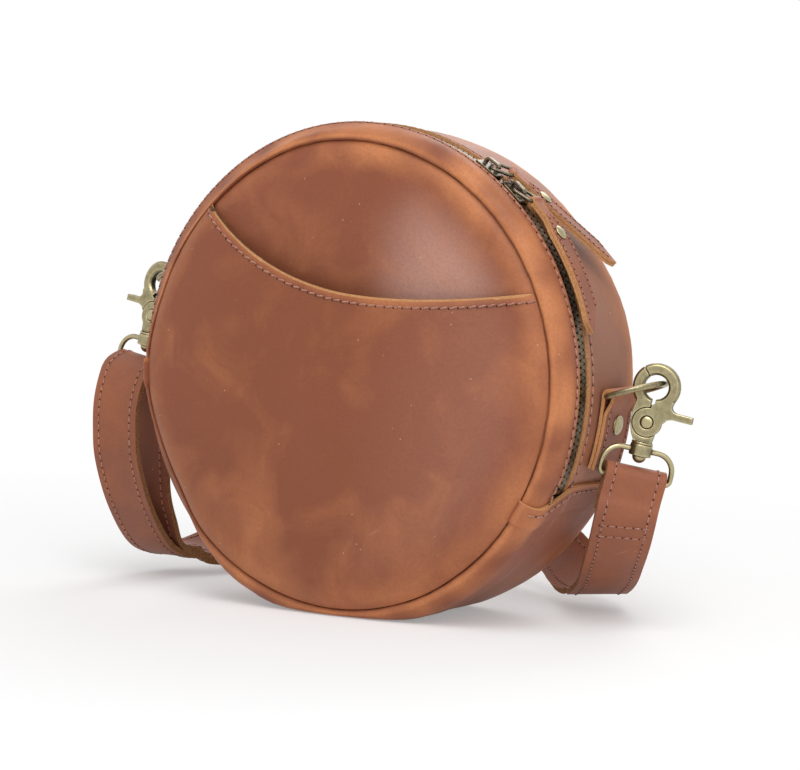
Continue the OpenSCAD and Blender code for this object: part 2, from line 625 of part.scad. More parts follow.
// Swivel loops: a wire that carries the strap, with a collar for the stem of the hook
loop_play = 0.9;
loop_half = strap_w / 2 + loop_wire / 2 + loop_play;
// Length of the loop's wire inside its collar
loop_root = 1;
loop_bow = 7;
loop_corner = 2;
loop_bar_z = -22.5;
loop_bow_z = -collar_drop - loop_bow;
module swivel_loop(side) color("darkgoldenrod") at_hook(side, loop_turn(side)) difference() {
    union() {
        translate([0, 0, collar_low]) cylinder(h = collar_h, r = collar_r);
        for (dir = [0, 180]) rotate([0, 0, dir]) rotate([90, 0, 0]) {
            wire_bar([collar_r - loop_root, -collar_drop, 0], [loop_half - loop_bow, -collar_drop, 0],
                loop_wire / 2);
            wire_bend([loop_half - loop_bow, loop_bow_z], 0, 90, loop_bow, loop_wire / 2);
            wire_bar([loop_half, loop_bow_z, 0], [loop_half, loop_bar_z + loop_corner, 0], loop_wire / 2);
            wire_bend([loop_half - loop_corner, loop_bar_z + loop_corner], -90, 0, loop_corner,
                loop_wire / 2);
        }
        wire_bar([loop_corner - loop_half, 0, loop_bar_z], [loop_half - loop_corner, 0, loop_bar_z],
            loop_wire / 2);
    }
    translate([0, 0, collar_low - over]) cylinder(h = collar_h + 2 * over, r = stem_r + shaft_gap);
}
module hook_body_left() hook_body(left);
module hook_body_right() hook_body(right);
module hook_trigger_left() hook_trigger(left);
module hook_trigger_right() hook_trigger(right);
module trigger_pin_left() trigger_pin(left);
module trigger_pin_right() trigger_pin(right);
module trigger_spring_left() trigger_spring(left);
module trigger_spring_right() trigger_spring(right);
module swivel_loop_left() swivel_loop(left);
module swivel_loop_right() swivel_loop(right);

// Strap: one strip that goes round both loops and the adjuster. Each row of its route is a place,
// then the direction and the dip below the horizontal of its width, in degrees.
// Places along the floor are shares of the bag's radius
fold_r = 2.9;
fold_lift = 0.8;
fold_steps = 4;
fold_z = loop_bar_z + fold_lift;
// Heights of the strap's sewn part and of its neck below the rivet of a hook
sewn_low = -37;
sewn_high = -31;
neck_z = -26;
neck_share = 0.75;
fold_lead_share = [-1.5, 0.5];
sewn_n = strap_t / 2 + gap;
bend_gap = 0.25;
layer_step = strap_t + bend_gap;
adjuster_place_share = [-1.237, 1.184];
adjuster_at = adjuster_place_share * bag_r;
adjuster_dir = 115;
adjuster_z = 15;
adjuster_play = 0.4;
adjuster_side = strap_w / 2 + adjuster_wire / 2 + adjuster_play;
pass_gap = 0.35;
pass_y = adjuster_wire / 2 + strap_t / 2 + pass_gap;
over_y = pass_y + layer_step - gap;
left_dir = 354;
// The strap's width lies along the bar of the loop
function fold_row(side, n, z) = let (w = leaned(side, loop_turn(side), [-side, 0, 0]))
    [rivet_at(side) + leaned(side, loop_turn(side), [0, n, z]), atan2(w[1], w[0]), -asin(w[2])];
function fold_arc(side, from, to) = [for (i = [0 : fold_steps])
    let (t = from + (to - from) * i / fold_steps)
    fold_row(side, fold_r * cos(t), fold_z + fold_r * sin(t))];
function adjuster_point(x, y) = let (p = turned_z([x, y, 0], adjuster_dir))
    [adjuster_at[0] + p[0], adjuster_at[1] + p[1], adjuster_z];
right_route_share = [
    [[1.04, 0.1, 0.346], 218, -7], [[0.955, 0.22, 0.24], 218, -3], [[0.86, 0.36, 0.145], 218, 0],
    [[0.76, 0.48, 0.084], 218, 0], [[0.69, 0.59, 0.078], 218, 4], [[0.56, 0.71, 0.11], 218, 28],
    [[0.416, 0.828, 0.175], 218, 62], [[0.28, 0.92, 0.225], 218, 84], [[0.125, 1.004, 0.24], 218, 90],
    [[-0.13, 1.2, 0.19], 218, 90], [[-0.318, 1.439, 0.142], 218, 90], [[-0.515, 1.715, 0.126], 218, 90],
    [[-0.63, 1.92, 0.124], 218, 90], [[-0.78, 2.07, 0.124], 218, 90], [[-0.98, 2.155, 0.124], 218, 90],
    [[-1.19, 2.145, 0.124], 218, 90], [[-1.36, 2.04, 0.124], 218, 90], [[-1.45, 1.86, 0.126], 218, 90],
    [[-1.435, 1.675, 0.135], 218, 90], [[-1.38, 1.52, 0.146], 218, 90]];
// Under one outer bar, over the middle bar and under the other outer bar
adjuster_pass_share = [[2, 0], [1, 0], [0.5, 0.5], [0, 1], [-0.5, 0.5], [-1, 0], [-2, 0]];
adjuster_route = [for (p = adjuster_pass_share)
    [adjuster_point(p[0] * adjuster_step, p[1] * (over_y + pass_y) - pass_y), left_dir, 90]];
floor_route_share = [
    [[-1.075, 0.88, 0.136], 354, 90], [[-1.055, 0.74, 0.12], 354, 65], [[-1.069, 0.587, 0.1], 354, 40],
    [[-1.13, 0.46, 0.083], 354, 14], [[-1.19, 0.36, 0.08], 354, 0], [[-1.215, 0.22, 0.105], 354, 0]];
left_route_share = [
    [[-1.22, 0.102, 0.18], 354, 0], [[-1.22, -0.024, 0.341], 354, 0], [[-1.22, -0.105, 0.518], 354, 0],
    [[-1.22, -0.123, 0.646], 354, 0], [[-1.22, -0.116, 0.772], 354, 4], [[-1.22, -0.059, 0.896], 354, 8]];
inner_route_share = [
    [[-1.215, 0.085, 0.66], 354, 6], [[-1.21, 0.09, 0.5], 354, 3], [[-1.21, 0.105, 0.36], 354, 0],
    [[-1.21, 0.15, 0.25], 354, 0]];
function in_bag_sizes(rows) = [for (row = rows) [bag_r * row[0], row[1], row[2]]];
function unit(v) = v / norm(v);
function width_way(row) = [cos(row[1]) * cos(row[2]), sin(row[1]) * cos(row[2]), -sin(row[2])];
function straightened(w, t) = unit(w - (w * t) * t);
// The second layer lies on the inside of the first one from the adjuster to the left bend
paired = concat([for (i = [5, 6]) adjuster_route[i]], in_bag_sizes(floor_route_share));
function inside_row(i) = let (t = unit(paired[min(i + 1, len(paired) - 1)][0] - paired[max(i - 1, 0)][0]),
    w = straightened(width_way(paired[i]), t)) [paired[i][0] + layer_step * cross(t, w), paired[i][1],
    paired[i][2]];
// The end of the strap goes round the middle bar
wrap_lead_share = [-0.42, -1.28];
wrap_share = [[0, -1], [0.71, -0.71], [1, 0], [0.71, 0.71], [0, 1]];
wrap_route = concat(
    [[adjuster_point(wrap_lead_share[0] * adjuster_step, wrap_lead_share[1] * pass_y), left_dir, 90]],
    [for (p = wrap_share) [adjuster_point(p[0] * pass_y, p[1] * pass_y), left_dir, 90]]);
route = concat(
    [for (z = [sewn_low, sewn_high]) fold_row(right, sewn_n, z)],
    [fold_row(right, neck_share * fold_r, neck_z)], fold_arc(right, 0, 180),
    [fold_row(right, -neck_share * fold_r, neck_z)],
    [for (z = [sewn_high, sewn_low]) fold_row(right, -sewn_n, z)], in_bag_sizes(right_route_share),
    adjuster_route, in_bag_sizes(floor_route_share), in_bag_sizes(left_route_share),
    [fold_row(left, fold_lead_share[0] * fold_r, fold_z + fold_lead_share[1] * fold_r)],
    fold_arc(left, 90, 0), in_bag_sizes(inner_route_share),
    [for (i = [len(paired) - 1 : -1 : 1]) inside_row(i)], wrap_route);
strap_step = 6.5;
function between(a, b, c, d, t) = (2 * b + t * (c - a) + t * t * (2 * a - 5 * b + 4 * c - d)
    + t * t * t * (3 * b - a - 3 * c + d)) / 2;
function row(i) = route[min(max(i, 0), len(route) - 1)];
strap_points = [for (i = [0 : len(route) - 2]) let (n = ceil(norm(row(i + 1)[0] - row(i)[0]) / strap_step))
    each [for (k = [0 : n - (i == len(route) - 2 ? 0 : 1)]) let (t = k / n)
        [between(row(i - 1)[0], row(i)[0], row(i + 1)[0], row(i + 2)[0], t),
        width_way(row(i)) * (1 - t) + width_way(row(i + 1)) * t]]];
module strap() color("peru") swept_solid([for (i = [0 : len(strap_points) - 1])
    let (c = strap_points[i][0], t = unit(strap_points[min(i + 1, len(strap_points) - 1)][0]
        - strap_points[max(i - 1, 0)][0]), w = straightened(strap_points[i][1], t),
        half_w = strap_w / 2 * w, half_t = strap_t / 2 * cross(t, w))
    [c + half_w + half_t, c - half_w + half_t, c - half_w - half_t, c + half_w - half_t]]);

module strap_adjuster() color("darkgoldenrod") translate([adjuster_at[0], adjuster_at[1], adjuster_z])
    rotate([0, 0, adjuster_dir]) {
        for (x = [-adjuster_step, 0, adjuster_step])
            wire_bar([x, 0, -adjuster_side], [x, 0, adjuster_side], adjuster_wire / 2);
        for (z = [-adjuster_side, adjuster_side])
            wire_bar([-adjuster_step, 0, z], [adjuster_step, 0, z], adjuster_wire / 2);
        for (x = [-adjuster_step, adjuster_step], z = [-adjuster_side, adjuster_side])
            translate([x, 0, z]) sphere(adjuster_wire / 2);
    }

front_panel();
front_pocket();
back_panel();
zip_gusset_front();
zip_gusset_rear();
bottom_gusset();
lining();
zip_tape_front();
zip_tape_rear();
zip_teeth_front();
zip_teeth_rear();
zip_slider_left();
zip_slider_right();
pull_link_left();
pull_link_right();
pull_tab_left();
pull_tab_right();
pull_rivet_left();
pull_rivet_right();
tab_left();
tab_right();
tab_rivet_left();
tab_rivet_right();
d_ring_left();
d_ring_right();
hook_body_left();
hook_body_right();
hook_trigger_left();
hook_trigger_right();
trigger_pin_left();
trigger_pin_right();
trigger_spring_left();
trigger_spring_right();
swivel_loop_left();
swivel_loop_right();
strap();
strap_adjuster();
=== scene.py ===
"""Looks of a round leather crossbody bag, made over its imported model.

Shapes are worked out in millimetres and turned into metres when a piece is finished.
"""
import json
import math

import bmesh
import bpy
import numpy as np
from mathutils import Matrix, Vector, noise


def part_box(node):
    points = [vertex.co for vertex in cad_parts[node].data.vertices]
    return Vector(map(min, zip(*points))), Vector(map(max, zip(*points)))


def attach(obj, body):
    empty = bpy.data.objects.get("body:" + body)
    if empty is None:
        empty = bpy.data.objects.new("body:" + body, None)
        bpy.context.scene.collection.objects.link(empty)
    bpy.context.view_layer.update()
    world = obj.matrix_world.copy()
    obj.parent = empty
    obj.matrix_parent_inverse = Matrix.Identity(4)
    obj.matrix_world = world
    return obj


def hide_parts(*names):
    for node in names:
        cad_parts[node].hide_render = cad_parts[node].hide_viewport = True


bl_info = {
    "name": "Round Crossbody Bag",
    "version": (1, 0, 0),
    "blender": (4, 5, 0),
    "location": "View3D > Sidebar > Bag",
    "description": "Makes the leather, stitching, metal and stage of a round crossbody bag",
    "category": "Add Mesh",
}

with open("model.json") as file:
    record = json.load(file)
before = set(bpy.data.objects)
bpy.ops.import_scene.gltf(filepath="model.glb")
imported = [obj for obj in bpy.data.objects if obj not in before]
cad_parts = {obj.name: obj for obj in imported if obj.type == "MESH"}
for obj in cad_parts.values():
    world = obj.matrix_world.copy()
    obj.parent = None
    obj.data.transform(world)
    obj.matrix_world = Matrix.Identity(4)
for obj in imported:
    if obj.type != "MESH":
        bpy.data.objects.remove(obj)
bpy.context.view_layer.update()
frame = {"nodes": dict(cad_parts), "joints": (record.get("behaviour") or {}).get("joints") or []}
joints = {joint["name"]: joint for joint in frame["joints"]}
MM = 0.001
SIDES = {"left": -1, "right": 1}
looks = {}


# Sizes and colours


def srgb(red, green, blue):
    """A colour as a screen shows it, from 0 to 255, made linear"""
    parts = (value / 255 for value in (red, green, blue))
    return tuple(part / 12.92 if part < 0.0404 else ((part + 0.055) / 1.055) ** 2.4 for part in parts)


def shade(red, green, blue):
    """The same colour with full opacity, as a material takes it"""
    return srgb(red, green, blue) + (1,)


def length(name, description, default):
    return bpy.props.FloatProperty(
        name=name, description=description, default=default * MM, unit="LENGTH", precision=5
    )


def angle(name, description, default):
    return bpy.props.FloatProperty(
        name=name, description=description, default=math.radians(default), subtype="ANGLE"
    )


def colour(name, description, default):
    return bpy.props.FloatVectorProperty(
        name=name, description=description, default=srgb(*default), subtype="COLOR", size=3, min=0, max=1
    )


class BagSizes(bpy.types.PropertyGroup):
    """Sizes of the bag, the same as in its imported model"""

    bag_radius: length("Bag radius", "Outer radius of the gusset", 100)
    seam_radius: length("Seam radius", "Radius of the two seams", 92.5)
    body_depth: length("Depth", "Distance between the two seams", 64)
    leather: length("Leather", "Thickness of the bag's leather", 1.8)
    roll_height: length("Roll height", "Height of the rolled edge beside a seam", 8)
    groove: length("Groove", "Depth of the groove of a seam", 2)
    rest_sink: length("Rest sink", "How far the bag sits into its flat", 4.5)
    bag_roll: angle("Roll", "How far the bag is rolled on its rim", 12)
    front_crown: length("Front crown", "Swell of the front panel", 2.5)
    back_crown: length("Back crown", "Swell of the back panel", 3.5)
    pocket_crown: length("Pocket crown", "Swell of the front pocket", 9.5)
    pocket_leather: length("Pocket leather", "Thickness of the pocket", 1.6)
    mouth_low: length("Mouth low", "Lowest point of the pocket's mouth above the axis", 33.5)
    mouth_high: length("Mouth high", "Ends of the pocket's mouth above the axis", 53)
    mouth_shift: length("Mouth shift", "How far left the mouth is lowest", 8)
    zip_middle: length("Zip middle", "Middle of the zip in front of the bag's middle", 15.75)
    zip_slot: length("Zip slot", "Width of the slot between the zip gussets", 8.5)
    zip_drop: angle("Zip drop", "Angle of the zip's ends below the horizontal", 16.7)
    strap_width: length("Strap width", "Width of the strap", 24)
    strap_thickness: length("Strap thickness", "Thickness of both layers of the strap", 2.6)
    stitch_pitch: length("Stitch pitch", "Length from stitch to stitch", 3.9)
    roll_pressed: length("Roll pressed", "How far the front roll is pressed in on the left", 4.6)
    seam_drawn: length("Seam drawn", "How far the front seam is drawn in on the left", 2.4)
    rear_sunk: length("Rear sunk", "How far the rear has sunk at the upper right", 3.4)
    rear_clear: length("Rear clear", "How far the rear lies below the way of the pulls", 0.5)


class BagColours(bpy.types.PropertyGroup):
    """Colours of the bag's leather, thread and metal"""

    body: colour("Body", "Leather of the pocket and the gussets", (136, 77, 51))
    rosy: colour("Rosy", "Rosier patches of the waxed leather", (140, 80, 57))
    # Pale patches on the right of the front panel and pocket: partly wax that has bloomed pale, partly a
    # painted sheen
    bloom: colour("Bloom", "Pale bloom of the wax", (190, 146, 132))
    bent: colour("Bent", "Leather where it is bent or rubbed", (198, 127, 82))
    deep: colour("Deep", "Leather where the wax lies thick", (110, 60, 38))
    rear: colour("Rear", "Leather of the rear gusset and back", (144, 98, 76))
    edge: colour("Edge", "Raw cut edges", (206, 152, 104))
    flesh: colour("Flesh side", "Inner side of the leather", (112, 78, 54))
    thread: colour("Thread", "Sewing thread", (192, 142, 124))
    metal: colour("Metal", "Antique brass where it is rubbed", (182, 170, 132))
    patina: colour("Patina", "Antique brass in its recesses", (40, 35, 27))


def size(name):
    """A length of the bag in millimetres"""
    return getattr(bpy.context.scene.bag_sizes, name) / MM


def turn(name):
    """An angle of the bag in degrees"""
    return math.degrees(getattr(bpy.context.scene.bag_sizes, name))


def tint(name):
    """One of the bag's colours, as a material takes it"""
    return tuple(getattr(bpy.context.scene.bag_colours, name)) + (1,)


# Materials

WHITE = (1, 1, 1, 1)


class Nodes:
    """A node tree, with short calls for its nodes"""

    def __init__(self, tree):
        self.tree = tree

    def put(self, socket, value):
        """Links the output of another node to a socket, or sets the socket's own value"""
        if isinstance(value, bpy.types.NodeSocket):
            self.tree.links.new(value, socket)
        else:
            socket.default_value = value

    def add(self, kind, inputs, **settings):
        node = self.tree.nodes.new(kind)
        for key, value in settings.items():
            setattr(node, key, value)
        for key, value in inputs.items():
            self.put(node.inputs[key], value)
        return node

    def maths(self, operation, first, second, clamp=False):
        inputs = {0: first, 1: second}
        return self.add("ShaderNodeMath", inputs, operation=operation, use_clamp=clamp).outputs[0]

    def seen(self):
        """1 for rays from the camera, a mirror or glass, and 0 for the light on the bag"""
        path = self.add("ShaderNodeLightPath", {}).outputs
        first = self.maths("MAXIMUM", path["Is Camera Ray"], path["Is Glossy Ray"])
        return self.maths("MAXIMUM", first, path["Is Transmission Ray"])

    def show(self, output, share, lit, white):
        """Shows one shader, and the white one for a share of the rays"""
        mix = self.add("ShaderNodeMixShader", {0: share, 1: lit.outputs[0], 2: white.outputs[0]})
        self.put(self.tree.nodes[output].inputs["Surface"], mix.outputs[0])


class Look(Nodes):
    """A material's node tree, with short calls for what a surface shows"""

    def __init__(self, name):
        self.material = bpy.data.materials.new(name)
        self.material.use_nodes = True
        super().__init__(self.material.node_tree)
        self.shader = self.tree.nodes["Principled BSDF"]
        self.place = self.add("ShaderNodeTexCoord", {}).outputs["Object"]

    def noise(self, scale, detail=3.0, roughness=0.5, distortion=0.0, place=None):
        return self.add("ShaderNodeTexNoise", {
            "Vector": place or self.place, "Scale": scale, "Detail": detail, "Roughness": roughness,
            "Distortion": distortion}).outputs["Fac"]

    def cells(self, scale):
        return self.add("ShaderNodeTexVoronoi", {"Vector": self.place, "Scale": scale}).outputs["Distance"]

    def attribute(self, name):
        return self.add("ShaderNodeAttribute", {}, attribute_name=name).outputs["Fac"]

    def between(self, value, low, high, to_low=0.0, to_high=1.0):
        return self.add("ShaderNodeMapRange", {
            "Value": value, "From Min": low, "From Max": high, "To Min": to_low,
            "To Max": to_high}).outputs["Result"]

    def mixed(self, share, first, second):
        return self.add("ShaderNodeMix", {0: share, 6: first, 7: second}, data_type="RGBA").outputs[2]

    def layered(self, base, *layers):
        """A colour with others laid over it, each by its own share"""
        for share, over in layers:
            base = self.mixed(share, base, over)
        return base

    def bump(self, height, distance, strength, under=None):
        inputs = {"Height": height, "Distance": distance * MM, "Strength": strength}
        if under is not None:
            inputs["Normal"] = under
        return self.add("ShaderNodeBump", inputs).outputs["Normal"]

    def finish(self, **inputs):
        for key, value in inputs.items():
            self.put(self.shader.inputs[key.replace("_", " ")], value)
        return self.material


def waxed_leather(name, body, rosy, bent, deep, creases=0.25):
    """Waxed leather: clouded, paler where the mesh says it is worn and where it marks a painted sheen on wax
    that has bloomed, with pores, creases, scuffs and dust
    """
    look = Look(name)
    clouds = look.noise(11, 3, 0.5, 0.5)
    patches = look.noise(38, 4, 0.55, 0.8)
    specks = look.noise(900, 2, 0.6)
    worn = look.maths("ADD", look.attribute("wear"), look.between(patches, 0.35, 0.65, -0.16, 0.16),
                      clamp=True)
    long_way = look.add("ShaderNodeMapping", {
        "Vector": look.place, "Scale": (60, 900, 60), "Rotation": (0.5, 0.3, 0.7)}).outputs["Vector"]
    scuffs = look.maths("MULTIPLY", look.between(look.noise(1, 4, 0.6, 0.4, long_way), 0.66, 0.74),
                        look.between(look.noise(16, 2), 0.5, 0.62))
    dust = look.maths("MULTIPLY", look.between(look.cells(230), 0.075, 0.05),
                      look.between(look.noise(60, 2), 0.56, 0.6))
    base = look.layered(
        body,
        (look.between(clouds, 0.38, 0.62), rosy),
        (look.between(patches, 0.3, 0.05, 0.0, 0.7), deep),
        (look.between(patches, 0.62, 0.85, 0.0, 0.35), bent),
        # Painted sheen, partly wax that has bloomed pale: the pale patch that the mesh marks
        (look.attribute("bloom"), tint("bloom")),
        (worn, bent),
        (look.between(specks, 0.35, 0.75, 0.0, 0.22), deep),
        (look.maths("MULTIPLY", scuffs, 0.28), tint("edge")),
        (look.maths("MULTIPLY", dust, 0.45), shade(226, 196, 172)),
    )
    pores = look.bump(look.cells(1100), 0.10, 0.32)
    grain = look.bump(look.noise(520, 4, 0.6), 0.16, 0.35, pores)
    wrinkles = look.bump(look.noise(110, 3, 0.5, 1.2), 0.5, creases, grain)
    return look.finish(Base_Color=base, Roughness=look.between(patches, 0.2, 0.8, 0.44, 0.6),
                       Normal=wrinkles, Specular_IOR_Level=0.28)


def raw_edge(name, pale, dark):
    """Cut leather: fibres along the cut, paler and darker in turn"""
    look = Look(name)
    fibres = look.noise(1500, 3, 0.7)
    lumps = look.noise(260, 3, 0.6)
    base = look.layered(dark, (look.between(fibres, 0.32, 0.68), pale),
                        (look.between(lumps, 0.62, 0.8, 0.0, 0.5), shade(224, 178, 124)))
    rough = look.bump(lumps, 0.35, 0.6, look.bump(fibres, 0.2, 0.8))
    return look.finish(Base_Color=base, Roughness=0.85, Normal=rough, Specular_IOR_Level=0.2)


def sewing_thread():
    look = Look("sewing_thread")
    ply = look.noise(1800, 2, 0.5)
    base = look.mixed(look.between(ply, 0.3, 0.7), tint("thread"), shade(134, 86, 72))
    return look.finish(Base_Color=base, Roughness=0.7, Normal=look.bump(ply, 0.1, 0.6))


# Painted shade: a dark colour for the shadow inside the needle holes
def needle_hole():
    look = Look("needle_hole")
    base = look.mixed(look.noise(700), shade(34, 16, 11), shade(56, 28, 20))
    return look.finish(Base_Color=base, Roughness=0.95, Specular_IOR_Level=0.05)


def antique_brass(name, rubbed, dark, relief=True):
    """Cast brass: dark in its recesses, rubbed bright on its ridges, finely pitted. The relief it reads also
    darkens the sides of flat pieces, which is painted shade
    """
    look = Look(name)
    mottle = look.noise(420, 4, 0.6, 0.3)
    pits = look.noise(2200, 3, 0.6)
    # The relief holds the patina of the recesses and, on flat pieces, painted shade on their sides
    height = look.attribute("relief") if relief else look.between(mottle, 0.2, 0.8, 0.42, 0.72)
    shown = look.maths("ADD", height, look.between(mottle, 0.25, 0.75, -0.1, 0.1), clamp=True)
    base = look.layered(dark, (look.between(shown, 0.18, 0.62), rubbed),
                        (look.between(pits, 0.58, 0.72, 0.0, 0.3), dark))
    return look.finish(Base_Color=base, Metallic=look.between(shown, 0.1, 0.4, 0.7, 1.0),
                       Roughness=look.between(shown, 0.2, 0.8, 0.42, 0.24),
                       Normal=look.bump(pits, 0.05, 0.4, look.bump(mottle, 0.1, 0.22)))


def cloth(name, threads, crossing, shades, roughness, relief):
    """Woven cloth: two ways of threads, each with its scale, direction and waviness"""
    look = Look(name)
    ways = [look.add("ShaderNodeTexWave", {"Vector": look.place, "Scale": scale, "Distortion": wavy},
                     bands_direction=direction).outputs["Fac"] for scale, direction, wavy in threads]
    weave = look.maths(crossing, *ways)
    base = look.mixed(weave, *shades)
    return look.finish(Base_Color=base, Roughness=roughness, Normal=look.bump(weave, *relief))


def make_looks():
    bent, deep = tint("bent"), tint("deep")
    looks["leather"] = waxed_leather("waxed_leather", tint("body"), tint("rosy"), bent, deep)
    looks["rear"] = waxed_leather("rear_leather", tint("rear"), shade(156, 108, 90), bent, tint("body"), 0.15)
    looks["strap"] = waxed_leather("strap_leather", shade(134, 80, 58), shade(138, 86, 68),
                                   shade(168, 100, 64), deep, 0.4)
    looks["edge"] = raw_edge("raw_edge", tint("edge"), shade(172, 120, 78))
    looks["strap_edge"] = raw_edge("strap_edge", shade(172, 124, 82), shade(104, 70, 42))
    looks["flesh"] = raw_edge("flesh_side", tint("flesh"), shade(84, 56, 38))
    looks["thread"] = sewing_thread()
    looks["hole"] = needle_hole()
    looks["brass"] = antique_brass("antique_brass", tint("metal"), tint("patina"))
    looks["steel"] = antique_brass("blackened_brass", shade(120, 110, 92), shade(30, 27, 24))
    looks["teeth"] = antique_brass("zip_teeth_metal", shade(112, 96, 72), shade(26, 21, 17), relief=False)
    looks["wire"] = antique_brass("spring_wire", shade(170, 168, 160), shade(80, 78, 74), relief=False)
    looks["tape"] = cloth("woven_tape", ((520, "Y", 0.6), (380, "DIAGONAL", 0.6)), "MULTIPLY",
                          (shade(14, 12, 12), shade(36, 31, 30)), 0.9, (0.15, 0.7))
    looks["lining"] = cloth("lining_cloth", ((420, "X", 0.4), (420, "Z", 0.4)), "MAXIMUM",
                            (shade(46, 42, 42), shade(78, 72, 70)), 0.92, (0.12, 0.6))


# Mesh helpers


def linked(name, data):
    """A new object in the scene, at the origin"""
    thing = bpy.data.objects.new(name, data)
    bpy.context.scene.collection.objects.link(thing)
    return thing


def made(name, bm):
    """A new object from a finished bmesh"""
    mesh = bpy.data.meshes.new(name)
    bm.to_mesh(mesh)
    bm.free()
    return linked(name, mesh)


def piece(name, bm, materials, body="bag", slot="leather", stands_for=(), place=None, thickness=0.0,
          rounding=0.0, offset=-1.0, even=True):
    """Finishes a mesh worked out in millimetres: to metres, linked, named, riding on its body. Its materials
    are those of its outside, its cut edges and its inner side"""
    bmesh.ops.transform(bm, matrix=Matrix.Scale(MM, 4) @ (place or Matrix()), verts=bm.verts)
    for face in bm.faces:
        face.smooth = True
    thing = made(name, bm)
    for material in materials:
        thing.data.materials.append(looks[material])
    if thickness:
        solid = thing.modifiers.new("thickness", "SOLIDIFY")
        solid.thickness, solid.offset, solid.use_even_offset = thickness * MM, offset, even
        solid.material_offset_rim = min(len(materials) - 1, 1)
        solid.material_offset = 2 if len(materials) > 2 else 0
    if rounding:
        soft = thing.modifiers.new("rounding", "BEVEL")
        soft.width, soft.segments, soft.limit_method = rounding * MM, 2, "ANGLE"
        soft.angle_limit = math.radians(40)
        thing.modifiers.new("normals", "WEIGHTED_NORMAL")
    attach(thing, body)
    if stands_for:
        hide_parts(*stands_for)


def skin(node, bm, look="leather", **shape):
    """A piece of the bag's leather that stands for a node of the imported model"""
    slot = {"leather": "leather", "rear": "rear_leather"}[look]
    piece(node + "_skin", bm, [look, "edge", "flesh"], slot=slot, stands_for=[node], **shape)


def paint(node, look):
    """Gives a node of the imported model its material"""
    mesh = frame["nodes"][node].data
    mesh.materials.clear()
    mesh.materials.append(looks[look])


def smoothstep(value, low, high):
    share = min(max((value - low) / (high - low), 0.0), 1.0)
    return share * share * (3 - 2 * share)


def within(value, rise_from, rise_to, fall_from, fall_to):
    """1 between two soft limits and 0 outside them"""
    return smoothstep(value, rise_from, rise_to) * smoothstep(value, fall_to, fall_from)


def outwards(bm, centre=(0, 0, 0)):
    """Turns every face away from a point"""
    bmesh.ops.recalc_face_normals(bm, faces=bm.faces)
    middle = Vector(centre)
    if sum(f.calc_area() * f.normal.dot(f.calc_center_median() - middle) for f in bm.faces) < 0:
        bmesh.ops.reverse_faces(bm, faces=bm.faces)


def undulate(bm, amount, span, seed):
    """Moves the mesh along its normals by a soft noise, as leather is never quite even"""
    bm.normal_update()
    moves = [(v, v.normal * amount * noise.noise(v.co / span + Vector((seed, seed, seed)))) for v in bm.verts]
    for vertex, move in moves:
        vertex.co += move


def mark(bm, name, share):
    """Stores a share at each point, which the leather's material reads"""
    layer = bm.verts.layers.float.new(name)
    for vertex in bm.verts:
        vertex[layer] = share(vertex.co)


def polar(r, turned):
    """A place at a distance from the bag's axis and an angle in degrees"""
    return Vector((r * math.cos(math.radians(turned)), r * math.sin(math.radians(turned)), 0))


def bearing(at):
    """Angle of a place about the bag's axis, in degrees"""
    return math.degrees(math.atan2(at.y, at.x))


def low_bearing(at):
    """The same from 180 to 540, so that it runs on through the bottom"""
    return (bearing(at) + 180) % 360 + 180


# Where the bag has given way, in degrees about its axis as it stands. Each share rises between the first
# two angles and falls between the last two
DRAWN_ARCS = ((95, 140, 160, 182), (183, 205, 212, 228))
PRESSED_ARC = (50, 145, 215, 240)
SUNK_ARC = (8, 42, 66, 112)
FIRM_RADIUS = 50


def settled(at):
    """Where a place on the bag lies after use: on the left the front roll is pressed flat and its seam drawn
    in, the rear has sunk at the upper right, and its roll is low where the pulls pass"""
    radius, seam = at.xy.length, size("seam_radius")
    if radius < FIRM_RADIUS:
        return at
    turned = (bearing(at) - turn("bag_roll")) % 360
    inner_part = smoothstep(radius, 55, seam)
    drawn = max(within(turned, *limits) for limits in DRAWN_ARCS)
    moved = -size("seam_drawn") * drawn * inner_part
    if radius > seam:
        pressed = size("roll_pressed") * within(turned, *PRESSED_ARC)
        moved -= pressed * (radius - seam) / (size("bag_radius") - seam)
    moved *= smoothstep(at.z, 20, 29)
    moved -= size("rear_sunk") * within(turned, *SUNK_ARC) * smoothstep(-at.z, -10, 6) * inner_part
    if radius > seam:
        moved -= size("rear_clear") * smoothstep(-at.z, -11.5, -8)
    return at + Vector((at.x, at.y, 0)) * (moved / radius)


def settle(bm):
    for vertex in bm.verts:
        vertex.co = settled(vertex.co)


def arc(x, y, rx, ry, start, end, steps):
    turns = [math.radians(start + (end - start) * i / steps) for i in range(steps + 1)]
    return [(x + rx * math.cos(t), y + ry * math.sin(t)) for t in turns]


def spun(profile, start, end, steps):
    """A line of (radius, depth) points turned about the bag's axis between two angles"""
    bm = bmesh.new()
    chain = [bm.verts.new((r, 0, z)) for r, z in profile]
    edges = [bm.edges.new(pair) for pair in zip(chain, chain[1:])]
    bmesh.ops.rotate(bm, verts=chain, cent=(0, 0, 0), matrix=Matrix.Rotation(math.radians(start), 3, "Z"))
    bmesh.ops.spin(bm, geom=chain + edges, cent=(0, 0, 0), axis=(0, 0, 1), steps=steps,
                   angle=math.radians(end - start), use_merge=end - start == 360)
    bmesh.ops.remove_doubles(bm, verts=bm.verts, dist=0.001)
    return bm


def ribbon(path, across, widths, columns):
    """A strip of leather laid along a path. widths gives how far it reaches to each side of each point"""
    bm = bmesh.new()
    bmesh.ops.create_grid(bm, x_segments=columns, y_segments=len(path) - 1, size=1)
    for vertex in bm.verts:
        i = round((vertex.co.y + 1) / 2 * (len(path) - 1))
        low, high = widths[i]
        vertex.co = path[i] + across[i] * (low + (high - low) * (vertex.co.x + 1) / 2)
    return bm


